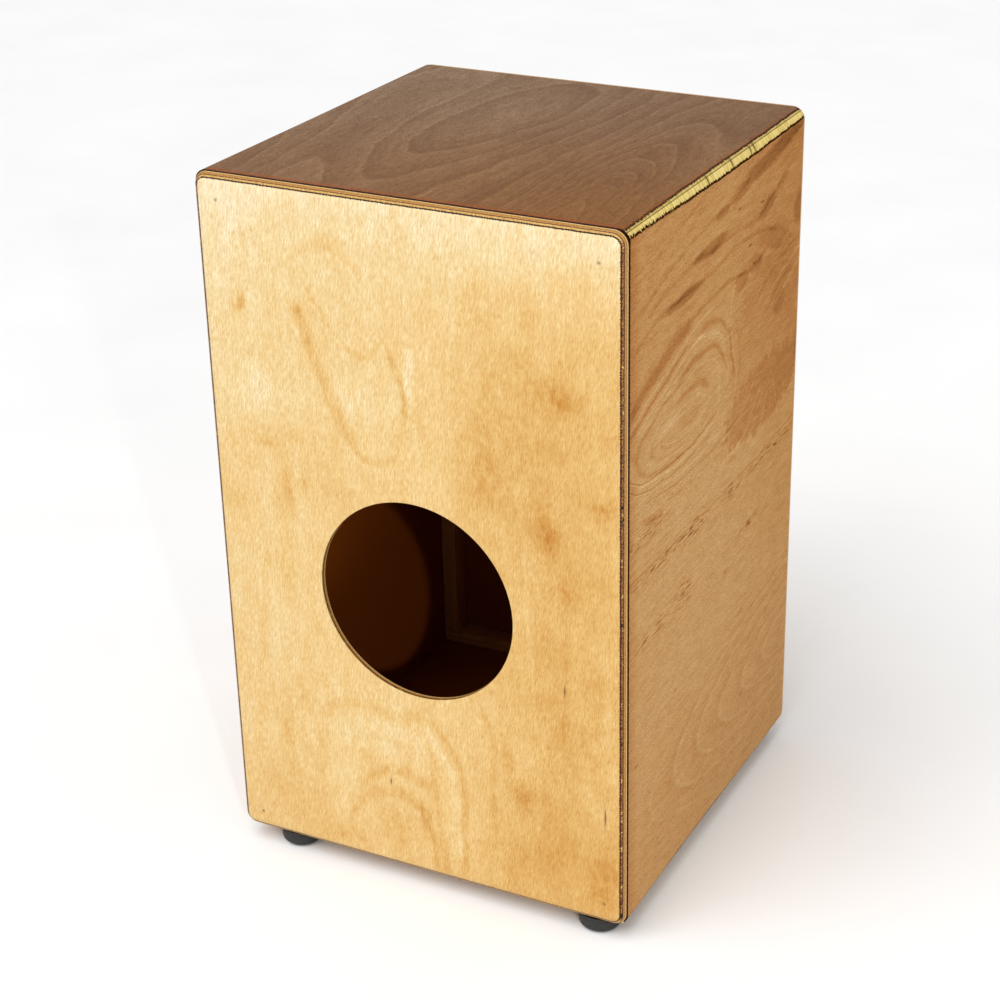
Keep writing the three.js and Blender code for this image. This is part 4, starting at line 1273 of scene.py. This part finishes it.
def coil_points(start, end, radius, pitch, steps):
    """Points of a helix from start to end."""
    axis = end - start
    length = np.linalg.norm(axis)
    axis = axis / length
    side = np.cross(axis, (0.0, 1.0, 0.0))
    side /= np.linalg.norm(side)
    other = np.cross(axis, side)
    turns = length / pitch
    count = int(turns * steps)
    t = np.arange(count + 1) / count
    angle = 2 * math.pi * turns * t
    ease = np.minimum(1.0, np.minimum(t, 1 - t) * turns / 1.5)[:, None]
    spin = np.cos(angle)[:, None] * side + np.sin(angle)[:, None] * other
    return start + axis * (length * t)[:, None] + spin * radius * ease


def tube_into(bm, path, radius):
    """Adds a four-sided tube along the path (millimetres) to the bmesh, with closed ends."""
    sides = 4
    tangent = np.gradient(path, axis=0)
    tangent /= np.linalg.norm(tangent, axis=1)[:, None]
    first = np.cross(tangent, (0.0, 1.0, 0.0))
    first /= np.linalg.norm(first, axis=1)[:, None]
    second = np.cross(tangent, first)
    rows = []
    for p, a, b in zip(path, first, second):
        row = []
        for k in range(sides):
            turn = 2 * math.pi * (k + 0.5) / sides
            row.append(bm.verts.new(Vector(p + radius * (math.cos(turn) * a + math.sin(turn) * b)) / M))
        rows.append(row)
    for a, b in zip(rows, rows[1:]):
        for k in range(sides):
            j = (k + 1) % sides
            bm.faces.new((a[k], a[j], b[j], b[k]))
    bm.faces.new(rows[0][::-1])
    bm.faces.new(rows[-1])


STRANDS = 10
STRAND_PITCH = 4.2
COIL_RADIUS = 0.72
COIL_PITCH = 1.15
WIRE_RADIUS = 0.22
SNARE_OFFSET = 48.0
FAN_DEGREES = 6.0
PLATE_HEIGHT = 14.0
PLATE_WIDTH = 44.0
PLATE_THICKNESS = 0.8


def make_snare_wires(side, sign):
    """Coiled strands soldered to an end plate and spread in a fan. Sign is -1 on the left."""
    low, _ = node_box(f"snare_wires_{side}")
    rear = node_box("snare_bar")[0][1] - 0.3
    hang = PIVOT[2] - low[2] - 3.0
    turn = math.radians(-sign * FAN_DEGREES)
    centre = np.array((sign * SNARE_OFFSET, rear, PIVOT[2]))

    def fan(point):
        x, y, z = point
        across = x * math.cos(turn) + z * math.sin(turn)
        up = -x * math.sin(turn) + z * math.cos(turn)
        return centre + np.array((across, y, up))

    bm = bmesh.new()
    forward = low[1] + 1.0 - rear
    for i in range(STRANDS):
        x = (i - (STRANDS - 1) / 2) * STRAND_PITCH
        start = fan((x, -PLATE_THICKNESS - 0.75, 0.0))
        end = fan((x, forward, -hang / math.cos(turn) + 2.0))
        tube_into(bm, coil_points(start, end, COIL_RADIUS, COIL_PITCH, 8), WIRE_RADIUS)
        solder = bmesh.ops.create_icosphere(bm, subdivisions=2, radius=1.0 / M)["verts"]
        bmesh.ops.scale(bm, vec=(1.3, 0.7, 2.4), verts=solder)
        bmesh.ops.translate(bm, vec=Vector(fan((x, -PLATE_THICKNESS - 0.3, -3.2))) / M, verts=solder)
    wires = finish_mesh(bm, f"snare_wires_{side}_fine", 60.0)
    stand_in(wires, "snare_carriage", f"snare_wires_{side}", snare_steel)

    plate = soft_box(f"end_plate_{side}", (-PLATE_WIDTH / 2, -PLATE_THICKNESS, -PLATE_HEIGHT / 2),
                     (PLATE_WIDTH / 2, 0.0, PLATE_HEIGHT / 2), 0.25)
    for vertex in plate.data.vertices:
        vertex.co = Vector(fan(np.array(vertex.co) * M)) / M
    plate.data.materials.append(bright_steel)
    plate.parent = wires


def make_snare_screws():
    head = [(1.1, -1.4), (2.5, -1.4), (2.6, -1.2), (2.3, -0.5), (1.5, -0.1), (0.0, 0.0)]
    master = screw_mesh("snare_screw", head, shank_radius=1.3, length=9.0, recess=(2.6, 1.0))
    for name in sorted(n for n in frame["nodes"] if n.startswith("snare_screw_")):
        x, _, z = node_middle(name)
        origin = (x, node_box(name)[0][1], z)
        place_screw(name, "snare_carriage", master, origin, (0, -1, 0), bright_steel)
    bpy.data.objects.remove(master)


def rod_profile(radius, start, end):
    """The lathe profile of a rod with eased ends."""
    easing = 0.4
    return [(0, start), (radius - easing, start), (radius, start + easing),
            (radius, end - easing), (radius - easing, end), (0, end)]


def make_pins_and_washers():
    felt = felt_material()
    for side in ("left", "right"):
        low, high = node_box(f"pivot_pin_{side}")
        length, radius = high[0] - low[0], (high[2] - low[2]) / 2
        pin = lathe(f"pivot_pin_{side}_fine", rod_profile(radius, 0.0, length), sides=32)
        place(pin, (low[0], PIVOT[1], PIVOT[2]), (1, 0, 0))
        stand_in(pin, "snare_carriage", f"pivot_pin_{side}", bright_steel)
        low, high = node_box(f"friction_washer_{side}")
        thick, outer = high[0] - low[0], (high[2] - low[2]) / 2
        ring = [(2.3, 0.2), (2.5, 0.0), (outer - 0.3, 0.0), (outer, 0.3), (outer, thick - 0.3),
                (outer - 0.3, thick), (2.5, thick), (2.3, thick - 0.2), (2.3, 0.2)]
        washer = lathe(f"friction_washer_{side}_fine", ring, sides=40)
        place(washer, (low[0], PIVOT[1], PIVOT[2]), (1, 0, 0))
        stand_in(washer, "box", f"friction_washer_{side}", felt)


def make_lever():
    slope = math.radians(30.0)
    towards = Vector((0.0, math.cos(slope), -math.sin(slope)))
    origin = Vector(PIVOT)
    rod = lathe("lever_rod_fine", rod_profile(2.5, -3.0, 57.5), sides=32)
    place(rod, origin, towards)
    stand_in(rod, "snare_carriage", "lever_rod", bright_steel)
    neck = [(0, 50.6), (2.8, 50.6), (2.8, 50.0), (4.1, 50.0), (4.3, 50.4), (4.1, 51.4)]
    centre, radius = 58.0, 7.8
    ball = arc((0.0, centre), radius, -55, 90, 20)
    profile = neck + [(max(r, 0.0), z) for r, z in ball[:-1]] + [(0.0, centre + radius)]
    knob = lathe("lever_knob_fine", profile, sides=48)
    place(knob, origin, towards)
    stand_in(knob, "snare_carriage", "lever_knob", plastic_material())


make_snare_bar()
make_snare_wires("left", -1)
make_snare_wires("right", 1)
make_snare_screws()
make_pins_and_washers()
make_lever()

# ---- stage: floor, light and camera --------------------------------------------------------------


def make_floor():
    paint = Paint("pale_floor")
    x, y, _ = paint.place_mm()
    mottle = paint.grain(x, y, 180.0, 180.0, detail=3.0)
    colour = paint.ramp(mottle, [(0.3, 0.9), (0.7, 0.93)])
    paint.set(Base_Color=colour, Roughness=0.9, Specular_IOR_Level=0.2)
    bm = bmesh.new()
    bmesh.ops.create_grid(bm, x_segments=8, y_segments=8, size=8.0)
    floor = finish_mesh(bm, "floor")
    floor.data.materials.append(paint.material)


def area_light(name, place_m, target_m, size, power):
    data = bpy.data.lights.new(name, "AREA")
    data.shape = "SQUARE"
    data.size = size
    data.energy = power
    light = add_object(name, data)
    light.location = place_m
    light.rotation_euler = (Vector(target_m) - Vector(place_m)).to_track_quat("-Z", "Y").to_euler()


def make_lights():
    sun = bpy.data.lights.new("overhead", "SUN")
    sun.energy = 1.75
    sun.angle = math.radians(50.0)
    overhead = add_object("overhead", sun)
    overhead.rotation_euler = Vector((0.1, 0.45, 0.88)).to_track_quat("Z", "Y").to_euler()
    area_light("key", (0.75, 1.1, 0.95), (0.08, 0.15, 0.4), size=0.5, power=1.9)
    area_light("low_side", (-1.75, 1.5, 0.1), (0.0, 0.14, 0.22), size=0.7, power=9.0)
    area_light("high_side", (-1.6, 2.01, 1.3), (0.0, 0.14, 0.22), size=0.06, power=11.0)
    world = bpy.data.worlds.new("studio")
    world.use_nodes = True
    backdrop = world.node_tree.nodes["Background"]
    backdrop.inputs["Color"].default_value = (1.0, 1.0, 1.0, 1.0)
    backdrop.inputs["Strength"].default_value = 0.55
    bpy.context.scene.world = world


CAMERA_AZIMUTH = 206.11
CAMERA_ELEVATION = 24.738
CAMERA_ROLL = -0.577
CAMERA_DISTANCE = 1.53
CAMERA_AIM = (-0.0267, -0.0198, 0.2537)
CAMERA_LENS = 78.145
CAMERA_SHIFT = (-0.0646, -0.0287)


def make_camera():
    a, e = math.radians(CAMERA_AZIMUTH), math.radians(CAMERA_ELEVATION)
    back = Vector((math.sin(a) * math.cos(e), -math.cos(a) * math.cos(e), math.sin(e)))
    data = bpy.data.cameras.new("camera")
    data.sensor_width = 36.0
    data.lens = CAMERA_LENS
    data.shift_x, data.shift_y = CAMERA_SHIFT
    data.clip_end = 50.0
    camera = add_object("camera", data)
    turn = (-back).to_track_quat("-Z", "Y").to_matrix().to_4x4()
    roll = Matrix.Rotation(math.radians(CAMERA_ROLL), 4, "Z")
    camera.matrix_world = Matrix.Translation(Vector(CAMERA_AIM) + back * CAMERA_DISTANCE) @ turn @ roll
    bpy.context.scene.camera = camera


make_floor()
make_lights()
make_camera()
bpy.context.scene.view_settings.view_transform = "Standard"
